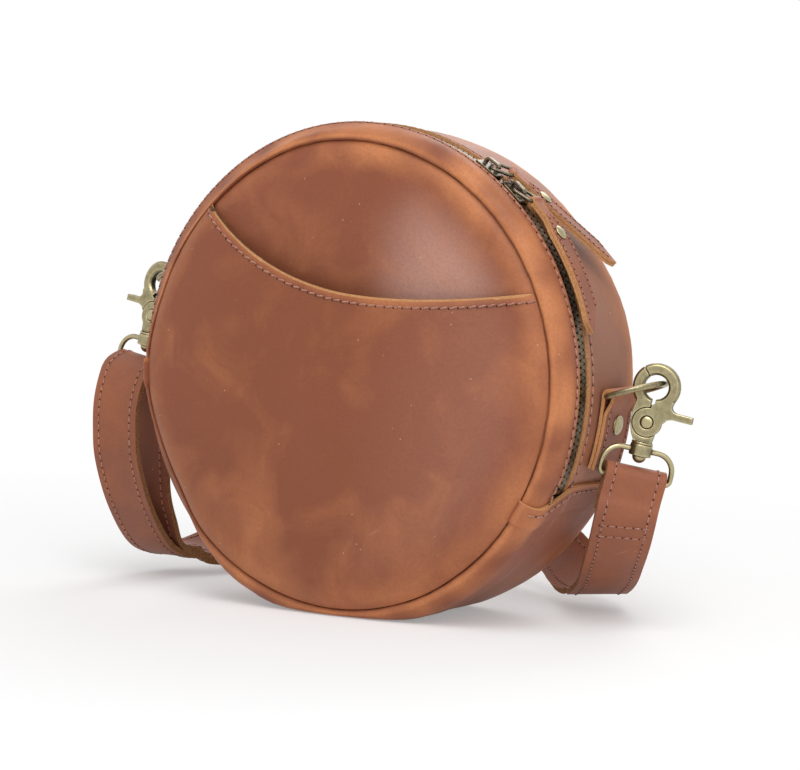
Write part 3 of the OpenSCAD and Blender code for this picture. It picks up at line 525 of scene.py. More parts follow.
def resampled(points, step):
    """Places a step apart along a line of (place, normal) pairs, each with its direction"""
    out, spare = [], 0.0
    for (a, na), (b, nb) in zip(points, points[1:]):
        run = (b - a).length
        if run < 1e-6:
            continue
        along = spare
        while along < run:
            out.append((a.lerp(b, along / run), na.lerp(nb, along / run).normalized(), (b - a).normalized()))
            along += step
        spare = along - run
    return out


def joined(whole, part):
    """Adds one mesh to another"""
    scratch = bpy.data.meshes.new("part")
    part.to_mesh(scratch)
    part.free()
    whole.from_mesh(scratch)
    bpy.data.meshes.remove(scratch)


def beads(places, shape, around, down):
    """One small ellipsoid at each place. They are made in short batches, which is quicker"""
    whole, most = bmesh.new(), 40
    for i in range(0, len(places), most):
        batch = bmesh.new()
        for at, turned in places[i : i + most]:
            bmesh.ops.create_uvsphere(batch, u_segments=around, v_segments=down, radius=1,
                                      matrix=Matrix.Translation(at) @ turned @ Matrix.Diagonal(shape + (1,)))
        joined(whole, batch)
    return whole


def sew(name, lines, body="bag", place=None, pitch=None, slant=0.14, thread_r=0.42):
    """Rows of stitches with dark dots of painted shade for the needle holes between them, along lines of
    (place, normal) pairs
    """
    pitch = pitch or size("stitch_pitch")
    stitches, pricks = [], []
    for line in lines:
        for at, normal, along in resampled(line, pitch):
            along = (along + slant * normal.cross(along)).normalized()
            turned = Matrix((along, normal.cross(along), normal)).transposed().to_4x4()
            stitches.append((at, turned))
            # A dark dot of painted shade for the needle holes after each stitch
            pricks.append((at + along * pitch / 2 + normal * 0.06, turned))
    thread, hole = (pitch * 0.48, thread_r, thread_r), (0.34, 0.38, 0.2)
    piece(name + "_stitches", beads(stitches, thread, 7, 5), ["thread"], body, place=place)
    piece(name + "_holes", beads(pricks, hole, 6, 4), ["hole"], body, place=place)


# Forms of the bag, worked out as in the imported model

SHOULDER_W, CROWN_POWER, EDGE_POWER, PANEL_RISE, SEAM_GAP = 7.0, 2.6, 2.5, 0.3, 0.1


def bag_middle():
    return size("bag_radius") - size("rest_sink")


def bag_place():
    """From the bag's own frame, X right, Y up and Z forwards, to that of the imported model"""
    return (Matrix.Translation((0, 0, bag_middle())) @ Matrix.Rotation(math.radians(turn("bag_roll")), 4, "Y")
            @ Matrix.Rotation(math.radians(90), 4, "X"))


def edge_line():
    """Half the section of a gusset's edge: out of the groove of the seam and over the roll"""
    leather, roll, groove = size("leather"), size("roll_height"), size("groove")
    lip, seam = size("seam_radius") + leather, size("body_depth") / 2
    return (arc(lip, seam - groove, leather, groove, 180, 95, 6)
            + arc(lip, seam - roll, size("bag_radius") - lip, roll, 84, 0, 12))


def roll_low():
    """Depth at which the roll of an edge ends and the flat of a gusset begins"""
    return size("body_depth") / 2 - size("roll_height")


def flat_run(start, end, parts):
    radius = size("bag_radius")
    return [(radius, start + (end - start) * i / parts) for i in range(1, parts + 1)]


def mirrored(line):
    return [(r, -z) for r, z in line]


def zip_run():
    """Angles of the two ends of the zip"""
    return -turn("zip_drop") + 0.1, 180 + turn("zip_drop") - 0.1


def seam_edge():
    """Radius of the border of a panel and of the pocket"""
    return size("seam_radius") - SEAM_GAP


def dome(r, top, crown):
    """Height of a panel at a radius: a swell that falls over a shoulder into the seam"""
    edge = seam_edge()
    fall = PANEL_RISE + size("groove")
    shoulder = max(0.0, (r - edge + SHOULDER_W) / SHOULDER_W)
    return top + crown * (1 - (r / edge) ** CROWN_POWER) - fall * shoulder ** EDGE_POWER


def panel_top():
    return size("body_depth") / 2 + PANEL_RISE


def pocket_top():
    return panel_top() + SEAM_GAP + size("pocket_leather")


def mouth_half():
    return math.sqrt(size("seam_radius") ** 2 - size("mouth_high") ** 2)


def mouth_y(x):
    low, high, shift, half = size("mouth_low"), size("mouth_high"), size("mouth_shift"), mouth_half()
    if x < -shift:
        return low + (high - low) * ((-shift - x) / (half - shift)) ** 2.2
    return low + (high - low) * ((x + shift) / (half + shift)) ** 1.6


# Pieces of the bag


class BAG_OT_panels(bpy.types.Operator):
    """Makes the front and the back panel"""

    bl_idname = "bag.panels"
    bl_label = "Panels"
    rings, sectors = 46, 200

    @staticmethod
    def wear(co):
        """Paler beside the seam and in soft patches, less so on the left, which is painted shade"""
        rim = 0.6 * smoothstep(co.xy.length, 78, 91) * (0.75 + noise.noise(co / 22))
        patches = 0.2 * smoothstep(noise.noise(co / 40), 0.1, 0.5)
        # Painted shade: on the left the paleness is cut by up to half, so that side stays darker
        return (rim + patches) * (1 - 0.5 * smoothstep(-co.x, 10, 60))

    @staticmethod
    def bloom(co):
        """Pale on the right of the front panel: partly wax that has bloomed pale, partly a painted sheen"""
        side = smoothstep(co.x + 12 * noise.noise(co / 25), -5, 38)
        return 0.85 * side * smoothstep(co.xy.length, 88, 66)

    def execute(self, context):
        radii = [seam_edge() * (1 - (1 - i / self.rings) ** 1.7) for i in range(self.rings + 1)]
        for side, look in (("front", "leather"), ("back", "rear")):
            crown = size(side + "_crown")
            bm = spun([(r, dome(r, panel_top(), crown)) for r in radii], 0, 360, self.sectors)
            outwards(bm)
            undulate(bm, 0.35, 34, 3.0)
            undulate(bm, 0.12, 9, 7.0)
            mark(bm, "wear", self.wear)
            if look == "rear":
                bmesh.ops.transform(bm, matrix=Matrix.Scale(-1, 4, (0, 0, 1)), verts=bm.verts)
                outwards(bm)
            else:
                # Marks the pale patch of bloomed wax and painted sheen
                mark(bm, "bloom", self.bloom)
            settle(bm)
            skin(side + "_panel", bm, look, place=bag_place(), thickness=size("leather"))
        return {"FINISHED"}


class BAG_OT_pocket(bpy.types.Operator):
    """Makes the front pocket with its curved mouth and the stitches below it"""

    bl_idname = "bag.pocket"
    bl_label = "Front pocket"
    mouth_steps, rim_steps, rings = 120, 200, 46
    heart, cut_width, seam_inset, seam_steps = (0, -14, 0), 1.0, 3.2, 160

    def border(self, share):
        """Place on the pocket's border: along the mouth first, then round the rim"""
        half = mouth_half()
        mouth_share = self.mouth_steps / (self.mouth_steps + self.rim_steps)
        if share <= mouth_share:
            x = half * (1 - 2 * share / mouth_share)
            return Vector((x, mouth_y(x), 0))
        corner = math.degrees(math.atan2(size("mouth_high"), half))
        rim_share = (share - mouth_share) / (1 - mouth_share)
        return polar(seam_edge(), 180 - corner + rim_share * (180 + 2 * corner))

    def on_pocket(self, x, y):
        return Vector((x, y, dome(min(math.hypot(x, y), seam_edge()), pocket_top(), size("pocket_crown"))))

    @staticmethod
    def wear(co):
        """Paler along the mouth and the rim, low down on the pocket and in soft patches"""
        radius, patch = co.xy.length, noise.noise(Vector((co.x, co.y, 3)) / 34)
        return (0.4 * smoothstep(mouth_y(co.x) - co.y, 4.5, 0.5) + 0.3 * smoothstep(radius, 80, 91.5)
                + 0.25 * smoothstep(patch, 0.1, 0.55)
                + 0.15 * smoothstep(radius, 55, 88) * smoothstep(-co.y, 0, 60))

    # Pale on the right of the pocket: partly wax that has bloomed pale, partly a painted sheen
    @staticmethod
    def bloom(co):
        return 0.16 * smoothstep(co.x, 5, 75) * smoothstep(co.xy.length, 90, 70)

    def execute(self, context):
        bm = bmesh.new()
        bmesh.ops.create_grid(bm, x_segments=self.mouth_steps + self.rim_steps, y_segments=self.rings, size=1)
        heart = Vector(self.heart)
        for vertex in bm.verts:
            reach = 1 - (1 - (vertex.co.y + 1) / 2) ** 1.6
            at = heart.lerp(self.border((vertex.co.x + 1) / 2), reach)
            vertex.co = self.on_pocket(at.x, at.y)
        mark(bm, "wear", self.wear)
        # Marks the pale patch of bloomed wax and painted sheen
        mark(bm, "bloom", self.bloom)
        bmesh.ops.remove_doubles(bm, verts=bm.verts, dist=0.001)
        outwards(bm)
        for face in bm.faces:
            middle = face.calc_center_median()
            if mouth_y(middle.x) - middle.y < self.cut_width:
                face.material_index = 1
        settle(bm)
        undulate(bm, 0.45, 40, 11.0)
        undulate(bm, 0.12, 10, 5.0)
        skin("front_pocket", bm, place=bag_place(), thickness=size("pocket_leather"), rounding=0.25,
             even=False)
        sew("pocket_mouth", [self.mouth_line()], place=bag_place(), slant=0.2)
        return {"FINISHED"}

    def mouth_line(self):
        """Places of the stitches below the edge of the mouth, with the pocket's normals"""
        line, half = [], mouth_half() - 0.6
        for i in range(self.seam_steps + 1):
            x = half * (1 - 2 * i / self.seam_steps)
            down = Vector((mouth_y(x + 0.5) - mouth_y(x - 0.5), -1, 0)).normalized() * self.seam_inset
            at = self.on_pocket(x + down.x, mouth_y(x) + down.y)
            right, up = (self.on_pocket(at.x + dx, at.y + dy) - at for dx, dy in ((0.5, 0), (0, 0.5)))
            lean = right.cross(up).normalized()
            line.append((settled(at) + lean * 0.12, lean))
        return line


class BAG_OT_gussets(bpy.types.Operator):
    """Makes the front, rear and bottom gussets with their seams"""

    bl_idname = "bag.gussets"
    bl_label = "Gussets"
    overlap, step, skived, slant, flare, rest_blend = 10.0, 3.5, 0.8, 8.5, 2.6, 3.0
    front_seam, rear_seam, end_seam = 2.3, 3.2, 1.6

    def roll_wear(self, co):
        """The roll beside a seam is bent and pale"""
        depth, radius = abs(co.z), co.xy.length
        roll = smoothstep(depth, 20, 27) * smoothstep(radius, 92.7, 95)
        seam = smoothstep(abs(radius - 94.6), 2.2, 0.4) * smoothstep(depth, 26, 30)
        return (roll * (0.42 + 0.7 * noise.noise(co / 15)) + 0.35 * seam
                + 0.3 * smoothstep(noise.noise(co / 30), 0.1, 0.5))

    def zip_wear(self, co):
        """The wear of a zip strip: that of its roll, and a pale edge at the zip"""
        from_slot = abs(co.z - size("zip_middle")) - size("zip_slot") / 2
        return self.roll_wear(co) + 0.5 * smoothstep(from_slot, 2.2, 0.5)

    def puckers(self, bm, height):
        """Small folds across the roll, where the leather is gathered round the bag"""
        for vertex in bm.verts:
            turned, depth = bearing(vertex.co), vertex.co.z
            wave = (noise.noise(Vector((turned / 3.1, depth / 9, 2.0)))
                    + 0.5 * noise.noise(Vector((turned / 1.3, depth / 6, 5.0))))
            flat = vertex.co.xy.normalized() * wave * height * smoothstep(abs(depth), 23, 30)
            vertex.co += flat.to_3d()

    def tuck(self, bm, start, end):
        """The ends of the zip strips are skived, so the bottom gusset lies over them with a low step"""
        lap = math.degrees(self.overlap / size("bag_radius"))
        for vertex in bm.verts:
            turned = (bearing(vertex.co) + 90) % 360 - 90
            share = max(smoothstep(turned, start + lap + 1.5, start + lap - 0.5),
                        smoothstep(turned, end - lap - 1.5, end - lap + 0.5))
            flat = vertex.co.xy.normalized() * self.skived * share
            rise = math.copysign(self.skived, vertex.co.z) * share * smoothstep(abs(vertex.co.z), 24, 31)
            vertex.co -= Vector((flat.x, flat.y, rise))

    def slanted(self, at, last):
        """The right end of the bottom gusset is cut at a slant, lower at the front seam"""
        share = smoothstep(at.z, 4, 31) * smoothstep(low_bearing(at), last - 22, last - 1)
        return Matrix.Rotation(-self.slant / size("bag_radius") * share, 3, "Z") @ at

    def execute(self, context):
        slot_front = size("zip_middle") + size("zip_slot") / 2
        slot_rear = size("zip_middle") - size("zip_slot") / 2
        start, end = zip_run()
        for name, look, profile, seam in (
                ("zip_gusset_front", "leather", edge_line() + flat_run(roll_low(), slot_front, 8),
                 slot_front + self.front_seam),
                ("zip_gusset_rear", "rear", mirrored(edge_line()) + flat_run(-roll_low(), slot_rear, 34),
                 slot_rear - self.rear_seam)):
            bm = spun(profile, start, end, 260)
            outwards(bm)
            undulate(bm, 0.14, 24, 1.0)
            self.puckers(bm, 0.28)
            mark(bm, "wear", self.zip_wear)
            self.tuck(bm, start, end)
            settle(bm)
            skin(name, bm, look, place=bag_place(), thickness=size("leather"), rounding=0.3)
            outs = [polar(1, start + 1 + (end - start - 2) * i / 220) for i in range(221)]
            line = [(settled(out * (size("bag_radius") + 0.08) + Vector((0, 0, seam))), out) for out in outs]
            sew(name, [line], place=bag_place())
        self.bottom(start - 0.1, end + 0.1)
        return {"FINISHED"}

    def bottom(self, zip_from, zip_to):
        """The bottom gusset: it laps over both ends of the zip strips and is flat where it rests"""
        radius, grow = size("bag_radius"), size("leather") + SEAM_GAP - self.skived
        lap, rise = (math.degrees(run / radius) for run in (self.overlap, self.step))
        profile = edge_line() + flat_run(roll_low(), -roll_low(), 40) + mirrored(edge_line())[::-1][1:]
        right = 360 + zip_from
        first, last = zip_to - lap, right + lap
        bm = spun(profile, first, last, 300)
        outwards(bm)
        bm.normal_update()
        moves = []
        for vertex in bm.verts:
            turned = low_bearing(vertex.co)
            lift = grow * max(smoothstep(turned, zip_to + rise, zip_to),
                              smoothstep(turned, right - rise, right))
            lift += self.flare * smoothstep(turned - right, -4, lap) * smoothstep(-vertex.co.z, 8, 26)
            moves.append((vertex, vertex.normal * lift))
        for vertex, move in moves:
            vertex.co = self.slanted(vertex.co + move, last)
        undulate(bm, 0.3, 26, 4.0)
        self.puckers(bm, 0.22)
        settle(bm)
        mark(bm, "wear", lambda co: 0.9 * self.roll_wear(co) + 0.7 * smoothstep(
            min(abs(low_bearing(co) - first), abs(low_bearing(co) - last)), 1.2, 0.2))
        bmesh.ops.transform(bm, matrix=bag_place(), verts=bm.verts)
        for vertex in bm.verts:
            if vertex.co.z < self.rest_blend:
                vertex.co.z = max(vertex.co.z + self.rest_blend, 0) ** 2 / (4 * self.rest_blend)
        skin("bottom_gusset", bm, thickness=size("leather"), rounding=0.3)
        lines = []
        for out in (polar(1, first + self.end_seam), polar(1, last - self.end_seam)):
            line = []
            for depth in (31 - 55 * i / 40 for i in range(41)):
                at = out * (radius + grow + 0.1 - 0.08 * max(depth - 26, 0) ** 2) + Vector((0, 0, depth))
                line.append((settled(self.slanted(at, last)), out))
            lines.append(line)
        sew("bottom_gusset", lines, place=bag_place())


class BAG_OT_zip(bpy.types.Operator):
    """Makes the zip's tapes and the lining, and finishes the teeth, sliders and links"""

    bl_idname = "bag.zip"
    bl_label = "Zip and lining"
    tape_near, tape_far, tape_thick = 2.8, 8.0, 0.6

    def execute(self, context):
        start, end = zip_run()
        tape_r = size("bag_radius") - size("leather") - 0.4
        reaches = [self.tape_near + (self.tape_far - self.tape_near) * i / 6 for i in range(7)]
        for row, way in (("front", 1), ("rear", -1)):
            bm = spun([(tape_r, size("zip_middle") + way * reach) for reach in reaches], start, end, 240)
            outwards(bm)
            settle(bm)
            piece(f"zip_tape_{row}_weave", bm, ["tape"], slot="tape", stands_for=[f"zip_tape_{row}"],
                  place=bag_place(), thickness=self.tape_thick, offset=0)
            paint("zip_teeth_" + row, "teeth")
        lining = bmesh.new()
        lining.from_mesh(frame["nodes"]["lining"].data)
        bmesh.ops.scale(lining, vec=(1 / MM,) * 3, verts=lining.verts)
        bmesh.ops.remove_doubles(lining, verts=lining.verts, dist=0.01)
        bmesh.ops.transform(lining, matrix=bag_place().inverted(), verts=lining.verts)
        settle(lining)
        piece("lining_cloth", lining, ["lining"], slot="lining", stands_for=["lining"], place=bag_place())
        for side in SIDES:
            cast(f"zip_slider_{side}", 0.2, "steel", f"slider_{side}")
            cast(f"pull_link_{side}", 0.16, "steel", f"link_{side}")
        return {"FINISHED"}


def cast(node, voxel, look, body, rounds=5):
    """A cast or drawn metal piece: its node with softened edges, and a relief value for the patina and for
    painted shade on the sides of flat pieces
    """
    bm = bmesh.new()
    bm.from_mesh(frame["nodes"][node].data)
    bmesh.ops.remove_doubles(bm, verts=bm.verts, dist=0.000002)
    rough = made(node + "_rough", bm)
    remesh = rough.modifiers.new("remesh", "REMESH")
    remesh.mode, remesh.voxel_size = "VOXEL", voxel * MM
    soft = rough.modifiers.new("soften", "SMOOTH")
    soft.factor, soft.iterations = 0.5, rounds
    done = bpy.data.meshes.new_from_object(rough.evaluated_get(bpy.context.evaluated_depsgraph_get()))
    bpy.data.objects.remove(rough)
    done.name = node + "_cast"
    add_relief(done, voxel)
    done.shade_smooth()
    done.materials.clear()
    done.materials.append(looks[look])
    thing = linked(node + "_cast", done)
    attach(thing, body)
    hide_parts(node)


def add_relief(mesh, voxel):
    """Stores how far each point stands out of its neighbourhood, from 0 in a recess to 1 on a ridge. On a
    flat piece the faces turned to its sides are lowered too, which is painted shade"""
    count = len(mesh.vertices)
    places, normals = np.empty(count * 3), np.empty(count * 3)
    mesh.vertices.foreach_get("co", places)
    mesh.vertices.foreach_get("normal", normals)
    places, normals = places.reshape(-1, 3), normals.reshape(-1, 3)
    ends = np.empty(len(mesh.edges) * 2, dtype=np.int64)
    mesh.edges.foreach_get("vertices", ends)
    first, second = ends.reshape(-1, 2).T
    degree = np.maximum(np.bincount(ends, minlength=count), 1)[:, None]

    def spread(values, rounds):
        for _ in range(rounds):
            total = np.zeros_like(values)
            np.add.at(total, first, values[second])
            np.add.at(total, second, values[first])
            values = total / degree
        return values

    around = spread(places, 8)
    height = spread(((places - around) * normals).sum(1)[:, None] / (voxel * MM), 3)[:, 0]
    from_middle = places - places.mean(0)
    spans, ways = np.linalg.eigh(from_middle.T @ from_middle)
    flat = spans[0] < 0.35 * spans[1]
    # Painted shade: on a flat piece the faces turned to its sides are darkened
    side_shade = 1 - np.abs(normals @ ways[:, 0]) if flat else 0
    relief = np.clip(0.5 + 0.45 * height - 0.3 * side_shade, 0, 1)
    mesh.attributes.new("relief", "FLOAT", "POINT").data.foreach_set("value", relief)


class BAG_OT_pulls(bpy.types.Operator):
    """Makes the two leather zip pulls, each one strip folded about its link"""

    bl_idname = "bag.pulls"
    bl_label = "Zip pulls"
    pull_len, pull_w, ply, neck_w, neck_len, flare_len, eye = 54.0, 11.0, 1.2, 6.0, 8.0, 17.0, 1.1
    link_clear, swing_len, play, steps, turns = 3.3, 16.0, 0.03, 44, 12
    near_corner, near_cut, far_corner, far_cut, seam_from, seam_inset = 0.93, 0.6, 0.82, 1.4, 8.5, 1.5

    def frame_of(self, side):
        """The pull's fold and its own directions: along it, across it and away from the bag"""
        joint = joints[f"pull_swing_{side}"]
        at, across = Vector(joint["pos_m"]) / MM, -Vector(joint["axis"])
        low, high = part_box(f"pull_rivet_{side}")
        along = (low + high) / 2 / MM - at
        along = (along - across * along.dot(across)).normalized()
        up = along.cross(across)
        lean = math.atan2(self.drop(side, self.swing_len), self.swing_len)
        return (at, along * math.cos(lean) + up * math.sin(lean), across,
                up * math.cos(lean) - along * math.sin(lean))

    def drop(self, side, s):
        """The right pull bends down along the rim, and the left one lies straight"""
        if side == "left":
            return 0.0
        radius = size("bag_radius") + self.link_clear
        return radius - math.sqrt(radius * radius - s * s)

    def reach(self, s):
        """How far the pull reaches to each side at a distance from its fold. Its end is cut at a slant"""
        half, neck = self.pull_w / 2, self.neck_w / 2
        wide = neck + (half - neck) * smoothstep(s, self.neck_len, self.flare_len)
        near_end, far_end = (max((s / self.pull_len - corner) / (1 - corner), 0)
                             for corner in (self.near_corner, self.far_corner))
        near, far = wide * (1 - self.near_cut * min(near_end, 1)), wide - half * self.far_cut * far_end
        return -near, max(far, -near + 0.05)

    def execute(self, context):
        lengths = [self.pull_len * (1 - i / self.steps) for i in range(self.steps)]
        fold = [math.radians(60 + 240 * i / self.turns) for i in range(self.turns + 1)]
        out = self.ply / 2 + self.play
        for side in SIDES:
            at, along, across, up = self.frame_of(side)
            rows = [(s, out - self.drop(side, s), s) for s in lengths]
            rows += [(self.eye * math.cos(t), self.eye * math.sin(t), 0) for t in fold]
            rows += [(s, -out - self.drop(side, s), s) for s in reversed(lengths)]
            path = [at + along * x + up * z for x, z, _ in rows]
            bm = ribbon(path, [across] * len(path), [self.reach(s) for _, _, s in rows], 8)
            mark(bm, "wear", lambda co: 0.35 + 0.5 * smoothstep((co - at).length, 12, 3)
                 + 0.4 * noise.noise(co / 9))
            outwards(bm, at + along * self.pull_len / 2)
            piece(f"pull_{side}_leather", bm, ["strap", "edge"], f"pull_{side}", "tab_leather",
                  [f"pull_tab_{side}"], thickness=self.ply - 0.06, rounding=0.18, offset=0)
            lines = []
            for edge, inset, share in ((0, self.seam_inset, 0.93), (1, -self.seam_inset, 0.84)):
                line = []
                for i in range(40):
                    s = self.seam_from + (self.pull_len * share - self.seam_from) * i / 39
                    high = self.ply + 0.1 - self.drop(side, s)
                    line.append((at + along * s + across * (self.reach(s)[edge] + inset) + up * high, up))
                lines.append(line)
            sew(f"pull_{side}", lines, f"pull_{side}", pitch=2.5, thread_r=0.24)
            cast(f"pull_rivet_{side}", 0.14, "brass", f"pull_{side}", 4)
        return {"FINISHED"}


class BAG_OT_tabs(bpy.types.Operator):
    """Makes the two tabs that hold the rings, each folded about the bar of its ring"""

    bl_idname = "bag.tabs"
    bl_label = "Ring tabs"
    ply, tab_w, tab_len, tab_y, tab_ang, rise_len = 1.5, 22.0, 29.0, 9.0, 10.0, 8.2
    bar_gap, ring_wire, seam_inset, steps = 0.2, 2.4, 2.4, 24

    def execute(self, context):
        radius = size("bag_radius")
        low_r = radius + SEAM_GAP + self.ply / 2
        top_r = low_r + self.ply + SEAM_GAP
        bar_r = radius + SEAM_GAP + 2 * self.bar_gap + self.ply + self.ring_wire / 2
        eye_r = self.ring_wire / 2 + self.bar_gap + self.ply / 2
        far, rise = (self.tab_ang - math.degrees(run / radius) for run in (self.tab_len, self.rise_len))
        seam = self.tab_w / 2 - self.seam_inset

        def leaf(flat, lifted, i):
            """A place on one layer of the tab: flat on the rim, then lifted over to the ring's bar"""
            turned = far + (self.tab_ang - far) * i / self.steps
            return polar(flat + (lifted - flat) * smoothstep(turned, rise, self.tab_ang), turned)

        low = [leaf(low_r, bar_r - eye_r, i) for i in range(self.steps + 1)]
        fold = [polar(bar_r, self.tab_ang) + polar(eye_r, self.tab_ang + 180 - 15 * i) for i in range(1, 13)]
        top = [leaf(top_r, bar_r + eye_r, i) for i in range(self.steps - 1, -1, -1)]
        for side, hand in SIDES.items():
            flip = Matrix.Scale(-1, 4, (1, 0, 0)) if hand < 0 else Matrix()

            def placed(at, depth=0.0):
                return flip @ (at + Vector((0, 0, depth - self.tab_y)))

            def stitch(at, depth):
                out = at.normalized()
                return placed(at + out * (self.ply / 2 + 0.1), depth), flip @ out

            path = [placed(at) for at in low + fold + top]
            sides = (-self.tab_w / 2, self.tab_w / 2)
            bm = ribbon(path, [Vector((0, 0, 1))] * len(path), [sides] * len(path), 10)
            bmesh.ops.recalc_face_normals(bm, faces=bm.faces)
            undulate(bm, 0.14, 7, 9.0)
            bend = placed(polar(bar_r, self.tab_ang)).xy
            mark(bm, "wear", lambda co: 0.25 + 0.6 * smoothstep((co.xy - bend).length, 9, 3)
                 + 0.35 * noise.noise(co / 8))
            outwards(bm, flip @ polar(top_r - self.ply / 2, far))
            piece(f"tab_{side}_leather", bm, ["strap", "edge"], "bag", "tab_leather", [f"tab_{side}"],
                  bag_place(), thickness=self.ply, rounding=0.22, offset=0)
            lines = [[stitch(at, depth) for at in top[3:]] for depth in (-seam, seam)]
            lines.append([stitch(top[-3], seam * (i / 6 - 1)) for i in range(13)])
            sew(f"tab_{side}", lines, place=bag_place(), pitch=2.8, thread_r=0.3)
            cast(f"tab_rivet_{side}", 0.2, "brass", "bag", 4)
        return {"FINISHED"}


class BAG_OT_metal(bpy.types.Operator):
    """Makes the rings, snap hooks, swivel loops and the adjuster"""

    bl_idname = "bag.metal"
    bl_label = "Metal fittings"
    fittings = (("d_ring", 0.26, "ring", 4), ("swivel_loop", 0.24, "loop", 4), ("hook_body", 0.2, "hook", 7),
                ("hook_trigger", 0.2, "trigger", 6))
    half, shank, head, lip, dome_h = 2.1, 1.95, 2.35, 0.6, 0.65

    def execute(self, context):
        for side in SIDES:
            for node, voxel, body, rounds in self.fittings:
                cast(f"{node}_{side}", voxel, "brass", f"{body}_{side}", rounds)
            paint(f"trigger_spring_{side}", "wire")
            self.rivet(side)
        cast("strap_adjuster", 0.28, "brass", "bag")
        return {"FINISHED"}

    def rivet(self, side):
        """The hinge pin with a domed head on both sides"""
        joint = joints[f"trigger_{side}"]
        turned = Vector(joint["axis"]).to_track_quat("Z", "Y").to_matrix().to_4x4()
        foot = self.lip - self.half
        profile = [(self.head * math.sin(t), -self.half - self.dome_h * math.cos(t)) for t in
                   map(math.radians, (0, 20, 40, 60, 75, 90))]
        profile += [(self.head, foot), (self.shank, foot), (self.shank, 0)]
        bm = spun(profile + mirrored(profile[-2::-1]), 0, 360, 40)
        outwards(bm)
        mark(bm, "relief", lambda co: 0.75 if abs(co.z) > self.half else 0.2)
        piece(f"trigger_pin_{side}_head", bm, ["brass"], f"hook_{side}", "antique_brass",
              [f"trigger_pin_{side}"], Matrix.Translation(Vector(joint["pos_m"]) / MM) @ turned)


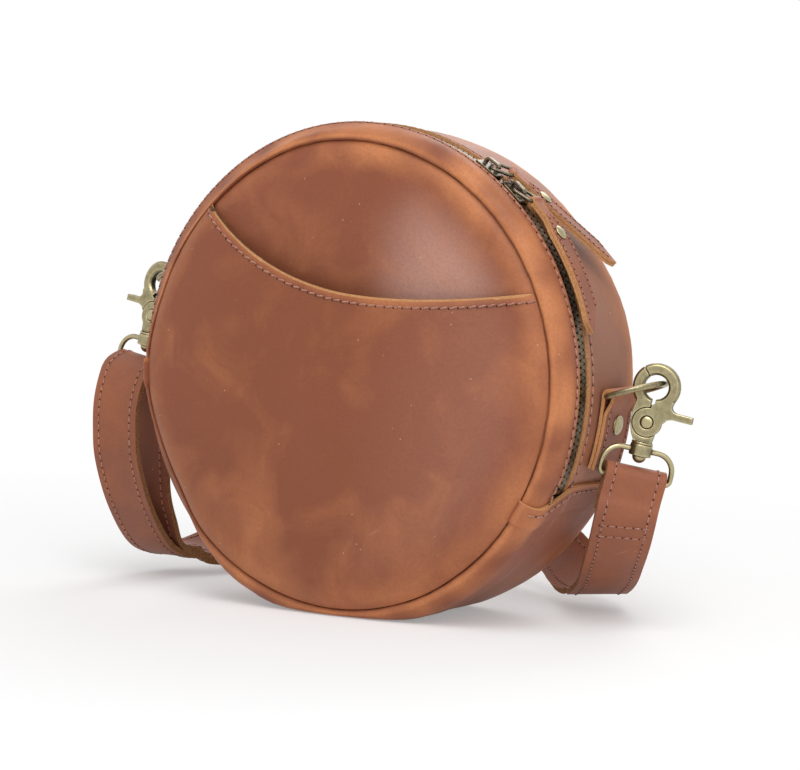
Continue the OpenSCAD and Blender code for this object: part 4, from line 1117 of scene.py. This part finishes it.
class BAG_OT_strap(bpy.types.Operator):
    """Makes the strap: two layers sewn together, folded about both loops and the adjuster"""

    bl_idname = "bag.strap"
    bl_label = "Strap"
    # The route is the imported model's own: each row is a place in shares of the bag's radius and the dip of
    # the strap's width below the horizontal. The width points one way on the right and another on the left
    right_rows = (
        (1.04, 0.1, 0.346, -7), (0.955, 0.22, 0.24, -3), (0.86, 0.36, 0.145, 0),
        (0.76, 0.48, 0.084, 0), (0.69, 0.59, 0.078, 4), (0.56, 0.71, 0.11, 28),
        (0.416, 0.828, 0.175, 62), (0.28, 0.92, 0.225, 84), (0.125, 1.004, 0.24, 90),
        (-0.13, 1.2, 0.19, 90), (-0.318, 1.439, 0.142, 90), (-0.515, 1.715, 0.126, 90),
        (-0.63, 1.92, 0.124, 90), (-0.78, 2.07, 0.124, 90), (-0.98, 2.155, 0.124, 90),
        (-1.19, 2.145, 0.124, 90), (-1.36, 2.04, 0.124, 90), (-1.45, 1.86, 0.126, 90),
        (-1.435, 1.675, 0.135, 90), (-1.38, 1.52, 0.146, 90),
    )
    floor_rows = (
        (-1.075, 0.88, 0.136, 90), (-1.055, 0.74, 0.12, 65), (-1.069, 0.587, 0.1, 40),
        (-1.13, 0.46, 0.083, 14), (-1.19, 0.36, 0.08, 0), (-1.215, 0.22, 0.105, 0),
    )
    left_rows = (
        (-1.22, 0.102, 0.18, 0), (-1.22, -0.024, 0.341, 0), (-1.22, -0.105, 0.518, 0),
        (-1.22, -0.123, 0.646, 0), (-1.22, -0.116, 0.772, 4), (-1.22, -0.059, 0.896, 8),
    )
    inner_rows = ((-1.215, 0.085, 0.66, 6), (-1.21, 0.09, 0.5, 3), (-1.21, 0.105, 0.36, 0),
                  (-1.21, 0.15, 0.25, 0))
    right_way, left_way = 218, 354
    fold_r, fold_z, sewn_low, sewn_high, neck_z, layer_gap = 2.9, -21.7, -37.0, -31.0, -26.0, 0.25
    wire, step, adjuster_z, adjuster_at, adjuster_turn = 2.4, 12.0, 15.0, (-1.237, 1.184), 115
    seam_inset, sewn_across = 3.4, (44.5, 50.5)

    def rows(self, table, way):
        radius = size("bag_radius")
        return [(Vector(row[:3]) * radius, way, row[3]) for row in table]

    def fold_frame(self, side):
        """Rivet of the hook, its swivel loop's turn, and the direction and dip of the loop's bar"""
        rivet = Vector(joints[f"trigger_{side}"]["pos_m"]) / MM
        lean, spin = {"right": (11.6, 7), "left": (12.5, -37)}[side]
        turned = (Matrix.Rotation(math.radians(31), 3, "Z") @ Matrix.Rotation(math.radians(lean), 3, "Y")
                  @ Matrix.Rotation(math.radians(spin), 3, "Z"))
        way = turned @ Vector((-SIDES[side], 0, 0))
        return rivet, turned, bearing(way), -math.degrees(math.asin(way.z))

    def fold_row(self, side, n, z):
        rivet, turned, direction, dip = self.fold_frame(side)
        return rivet + turned @ Vector((0, n, z)), direction, dip

    def fold(self, side, before, start, end, after=()):
        """The strap's way round the bar of a loop, with the places before and after it"""
        bend = arc(0, self.fold_z, self.fold_r, self.fold_r, start, end, 4)
        return [self.fold_row(side, n, z) for n, z in before + bend + list(after)]

    def adjuster_row(self, x, y):
        middle = Vector(self.adjuster_at + (0,)) * size("bag_radius") + Vector((0, 0, self.adjuster_z))
        turned = Matrix.Rotation(math.radians(self.adjuster_turn), 3, "Z")
        return middle + turned @ Vector((x, y, 0)), self.left_way, 90

    @staticmethod
    def width_way(row):
        turned, dip = math.radians(row[1]), math.radians(row[2])
        return Vector((math.cos(turned) * math.cos(dip), math.sin(turned) * math.cos(dip), -math.sin(dip)))

    @staticmethod
    def squared(line, i, way):
        """Direction of a line at one of its places, and that of its width made square to it"""
        along = (line[min(i + 1, len(line) - 1)][0] - line[max(i - 1, 0)][0]).normalized()
        return along, (way - along * way.dot(along)).normalized()

    def inside(self, paired, i):
        """The place of the inner run, which lies against the outer one"""
        at, direction, dip = paired[i]
        along, across = self.squared(paired, i, self.width_way(paired[i]))
        return at + along.cross(across) * (size("strap_thickness") + self.layer_gap), direction, dip

    def route(self):
        """From the sewn fold of the right loop through the adjuster, round the left loop and back"""
        thick = size("strap_thickness")
        sewn = thick / 2 + SEAM_GAP
        under = self.wire / 2 + thick / 2 + 0.35
        over = under + thick + self.layer_gap - SEAM_GAP
        passes = [self.adjuster_row(x * self.step, y * (over + under) - under) for x, y in
                  ((2, 0), (1, 0), (0.5, 0.5), (0, 1), (-0.5, 0.5), (-1, 0), (-2, 0))]
        floor = self.rows(self.floor_rows, self.left_way)
        paired = passes[5:] + floor
        wrap = [self.adjuster_row(-0.42 * self.step, -1.28 * under)]
        wrap += [self.adjuster_row(x * under, y * under) for x, y in
                 ((0, -1), (0.71, -0.71), (1, 0), (0.71, 0.71), (0, 1))]
        leaf = [(sewn, self.sewn_low), (sewn, self.sewn_high), (0.75 * self.fold_r, self.neck_z)]
        turned_in = [(-1.5 * self.fold_r, self.fold_z + 0.5 * self.fold_r)]
        return (
            self.fold("right", leaf, 0, 180, [(-n, z) for n, z in reversed(leaf)])
            + self.rows(self.right_rows, self.right_way) + passes + floor
            + self.rows(self.left_rows, self.left_way) + self.fold("left", turned_in, 90, 0)
            + self.rows(self.inner_rows, self.left_way)
            + [self.inside(paired, i) for i in range(len(paired) - 1, 0, -1)] + wrap
        )

    def path(self):
        """Points along the strap with the directions of its width and of its outer face"""
        rows = self.route()

        def row(i):
            return rows[min(max(i, 0), len(rows) - 1)]

        points = []
        for i in range(len(rows) - 1):
            a, b, c, d = (row(i + k)[0] for k in (-1, 0, 1, 2))
            parts = math.ceil((c - b).length / 2.2)
            for k in range(parts + (1 if i == len(rows) - 2 else 0)):
                t = k / parts
                at = (2 * b + t * (c - a) + t * t * (2 * a - 5 * b + 4 * c - d)
                      + t ** 3 * (3 * b - a - 3 * c + d)) / 2
                points.append((at, self.width_way(row(i)).lerp(self.width_way(row(i + 1)), t)))
        out = []
        for i, (at, way) in enumerate(points):
            along, across = self.squared(points, i, way)
            out.append((at, across, along.cross(across)))
        return out

    def execute(self, context):
        path, thick, half = self.path(), size("strap_thickness"), size("strap_width") / 2
        both = bmesh.new()
        for hand in (-1, 1):
            layer = ribbon([at + face * hand * thick / 4 for at, _, face in path],
                           [across for _, across, _ in path], [(-half, half)] * len(path), 12)
            bmesh.ops.recalc_face_normals(layer, faces=layer.faces)
            layer.normal_update()
            layer.faces.ensure_lookup_table()
            one = layer.faces[0]
            middle = one.calc_center_median()
            if one.normal.dot(min(path, key=lambda row: (row[0] - middle).length)[2]) * hand < 0:
                bmesh.ops.reverse_faces(layer, faces=layer.faces)
            joined(both, layer)
        mark(both, "wear", lambda co: 0.15 + 0.5 * max(0.0, noise.noise(co / 30))
             + 0.35 * max(0.0, noise.noise(co / 8)))
        piece("strap_leather", both, ["strap", "strap_edge"], stands_for=["strap"],
              thickness=thick / 2 - 0.05, rounding=0.28, offset=0)
        edge = half - self.seam_inset

        def stitches(rows, shares, hand):
            return [(at + across * edge * share + face * hand * (thick / 2 + 0.05), face * hand)
                    for (at, across, face), share in zip(rows, shares)]

        lines = [stitches(path[4:-4], [side] * len(path), hand) for hand in (-1, 1) for side in (-1, 1)]
        run, rows, marks = 0.0, [], list(self.sewn_across)
        for before, row in zip(path, path[1:]):
            run += (row[0] - before[0]).length
            if marks and run > marks[0]:
                rows.append(row)
                marks.pop(0)
        for row in rows + [path[3]]:
            lines += [stitches([row] * 9, [i / 4 - 1 for i in range(9)], hand) for hand in (-1, 1)]
        sew("strap", lines, pitch=3.3, thread_r=0.34, slant=0.05)
        return {"FINISHED"}


class BAG_OT_stage(bpy.types.Operator):
    """Makes the white floor, the lamps and the camera"""

    bl_idname = "bag.stage"
    bl_label = "Stage"
    # Each lamp's name, place, power and width
    lamps = (("key_lamp", (0.6, -1.1, 1.2), 9, 0.9), ("fill_lamp", (1.3, -0.7, 0.7), 2.5, 1.0),
             ("top_lamp", (0.3, -0.6, 1.6), 8, 0.8), ("back_lamp", (-0.2, 1.2, 1.1), 6, 0.9))
    lit_place, floor_half, floor_drop, world_strength = (0, 0, 0.09), 4, 0.0002, 0.5
    azimuth, elevation, roll, distance = 30.818, 4.0, 1.368, 1.2
    lens, shift = 134.03, (0.0234, -0.0166)

    def execute(self, context):
        context.scene.view_settings.view_transform = "Standard"
        self.floor()
        self.world(context.scene)
        for name, at, energy, width in self.lamps:
            lamp = bpy.data.lights.new(name, "AREA")
            lamp.energy, lamp.size = energy, width
            thing = linked(name, lamp)
            thing.location = at
            thing.rotation_euler = (Vector(self.lit_place) - Vector(at)).to_track_quat("-Z", "Y").to_euler()
        self.camera(context.scene)
        return {"FINISHED"}

    def white(self, name):
        """White paper that shows white to the camera and in mirrors, and still takes the shadow"""
        look = Look(name)
        grain = look.mixed(look.noise(6, 2), (0.93, 0.93, 0.93, 1), (0.9, 0.9, 0.9, 1))
        look.finish(Base_Color=grain, Roughness=0.9, Specular_IOR_Level=0.1)
        away = look.add("ShaderNodeVectorMath", {0: look.place}, operation="LENGTH").outputs["Value"]
        share = look.maths("MULTIPLY", look.seen(), look.between(away, 0.2, 0.55, 0.3, 1.0))
        shine = look.add("ShaderNodeEmission", {"Color": WHITE, "Strength": 1.0})
        look.show("Material Output", share, look.shader, shine)
        return look.material

    def floor(self):
        bm = bmesh.new()
        bmesh.ops.create_grid(bm, x_segments=4, y_segments=4, size=self.floor_half)
        thing = made("floor", bm)
        thing.location.z = -self.floor_drop
        thing.data.materials.append(self.white("white_paper"))

    def world(self, scene):
        """Plain light all round, which the camera and mirrors see as white"""
        scene.world = bpy.data.worlds.new("studio")
        scene.world.use_nodes = True
        nodes = Nodes(scene.world.node_tree)
        light = nodes.tree.nodes["Background"]
        nodes.put(light.inputs["Color"], WHITE)
        nodes.put(light.inputs["Strength"], self.world_strength)
        white = nodes.add("ShaderNodeBackground", {"Color": WHITE})
        nodes.show("World Output", nodes.seen(), light, white)

    def camera(self, scene):
        azimuth, elevation, roll = map(math.radians, (self.azimuth, self.elevation, self.roll))
        back = Vector((math.sin(azimuth) * math.cos(elevation), -math.cos(azimuth) * math.cos(elevation),
                       math.sin(elevation)))
        right = (-back).cross(Vector((0, 0, 1))).normalized()
        up = right.cross(-back)
        right, up = right * math.cos(roll) + up * math.sin(roll), up * math.cos(roll) - right * math.sin(roll)
        camera = bpy.data.cameras.new("camera")
        camera.sensor_width, camera.lens = 36, self.lens
        camera.shift_x, camera.shift_y = self.shift
        camera.clip_start, camera.clip_end = 0.05, 20
        thing = linked("camera", camera)
        at = Vector((0, 0, bag_middle() * MM)) + back * self.distance
        thing.matrix_world = Matrix.Translation(at) @ Matrix((right, up, back)).transposed().to_4x4()
        scene.camera = thing


class BAG_PT_panel(bpy.types.Panel):
    """Lists the bag's sizes, its colours and the steps that make it"""

    bl_label = "Round Crossbody Bag"
    bl_space_type = "VIEW_3D"
    bl_region_type = "UI"
    bl_category = "Bag"

    def draw(self, context):
        column = self.layout.column(align=True)
        for step in STEPS:
            column.operator(step.bl_idname)
        for group in (context.scene.bag_sizes, context.scene.bag_colours):
            box = self.layout.box()
            for name in group.__annotations__:
                box.prop(group, name)


STEPS = (BAG_OT_panels, BAG_OT_pocket, BAG_OT_gussets, BAG_OT_zip, BAG_OT_pulls, BAG_OT_tabs, BAG_OT_metal,
         BAG_OT_strap, BAG_OT_stage)
CLASSES = (BagSizes, BagColours) + STEPS + (BAG_PT_panel,)


def register():
    for kind in CLASSES:
        bpy.utils.register_class(kind)
    bpy.types.Scene.bag_sizes = bpy.props.PointerProperty(type=BagSizes)
    bpy.types.Scene.bag_colours = bpy.props.PointerProperty(type=BagColours)


def unregister():
    del bpy.types.Scene.bag_sizes, bpy.types.Scene.bag_colours
    for kind in reversed(CLASSES):
        bpy.utils.unregister_class(kind)


def main():
    register()
    make_looks()
    for step in STEPS:
        group, name = step.bl_idname.split(".")
        getattr(getattr(bpy.ops, group), name)()


if __name__ == "__main__":
    main()
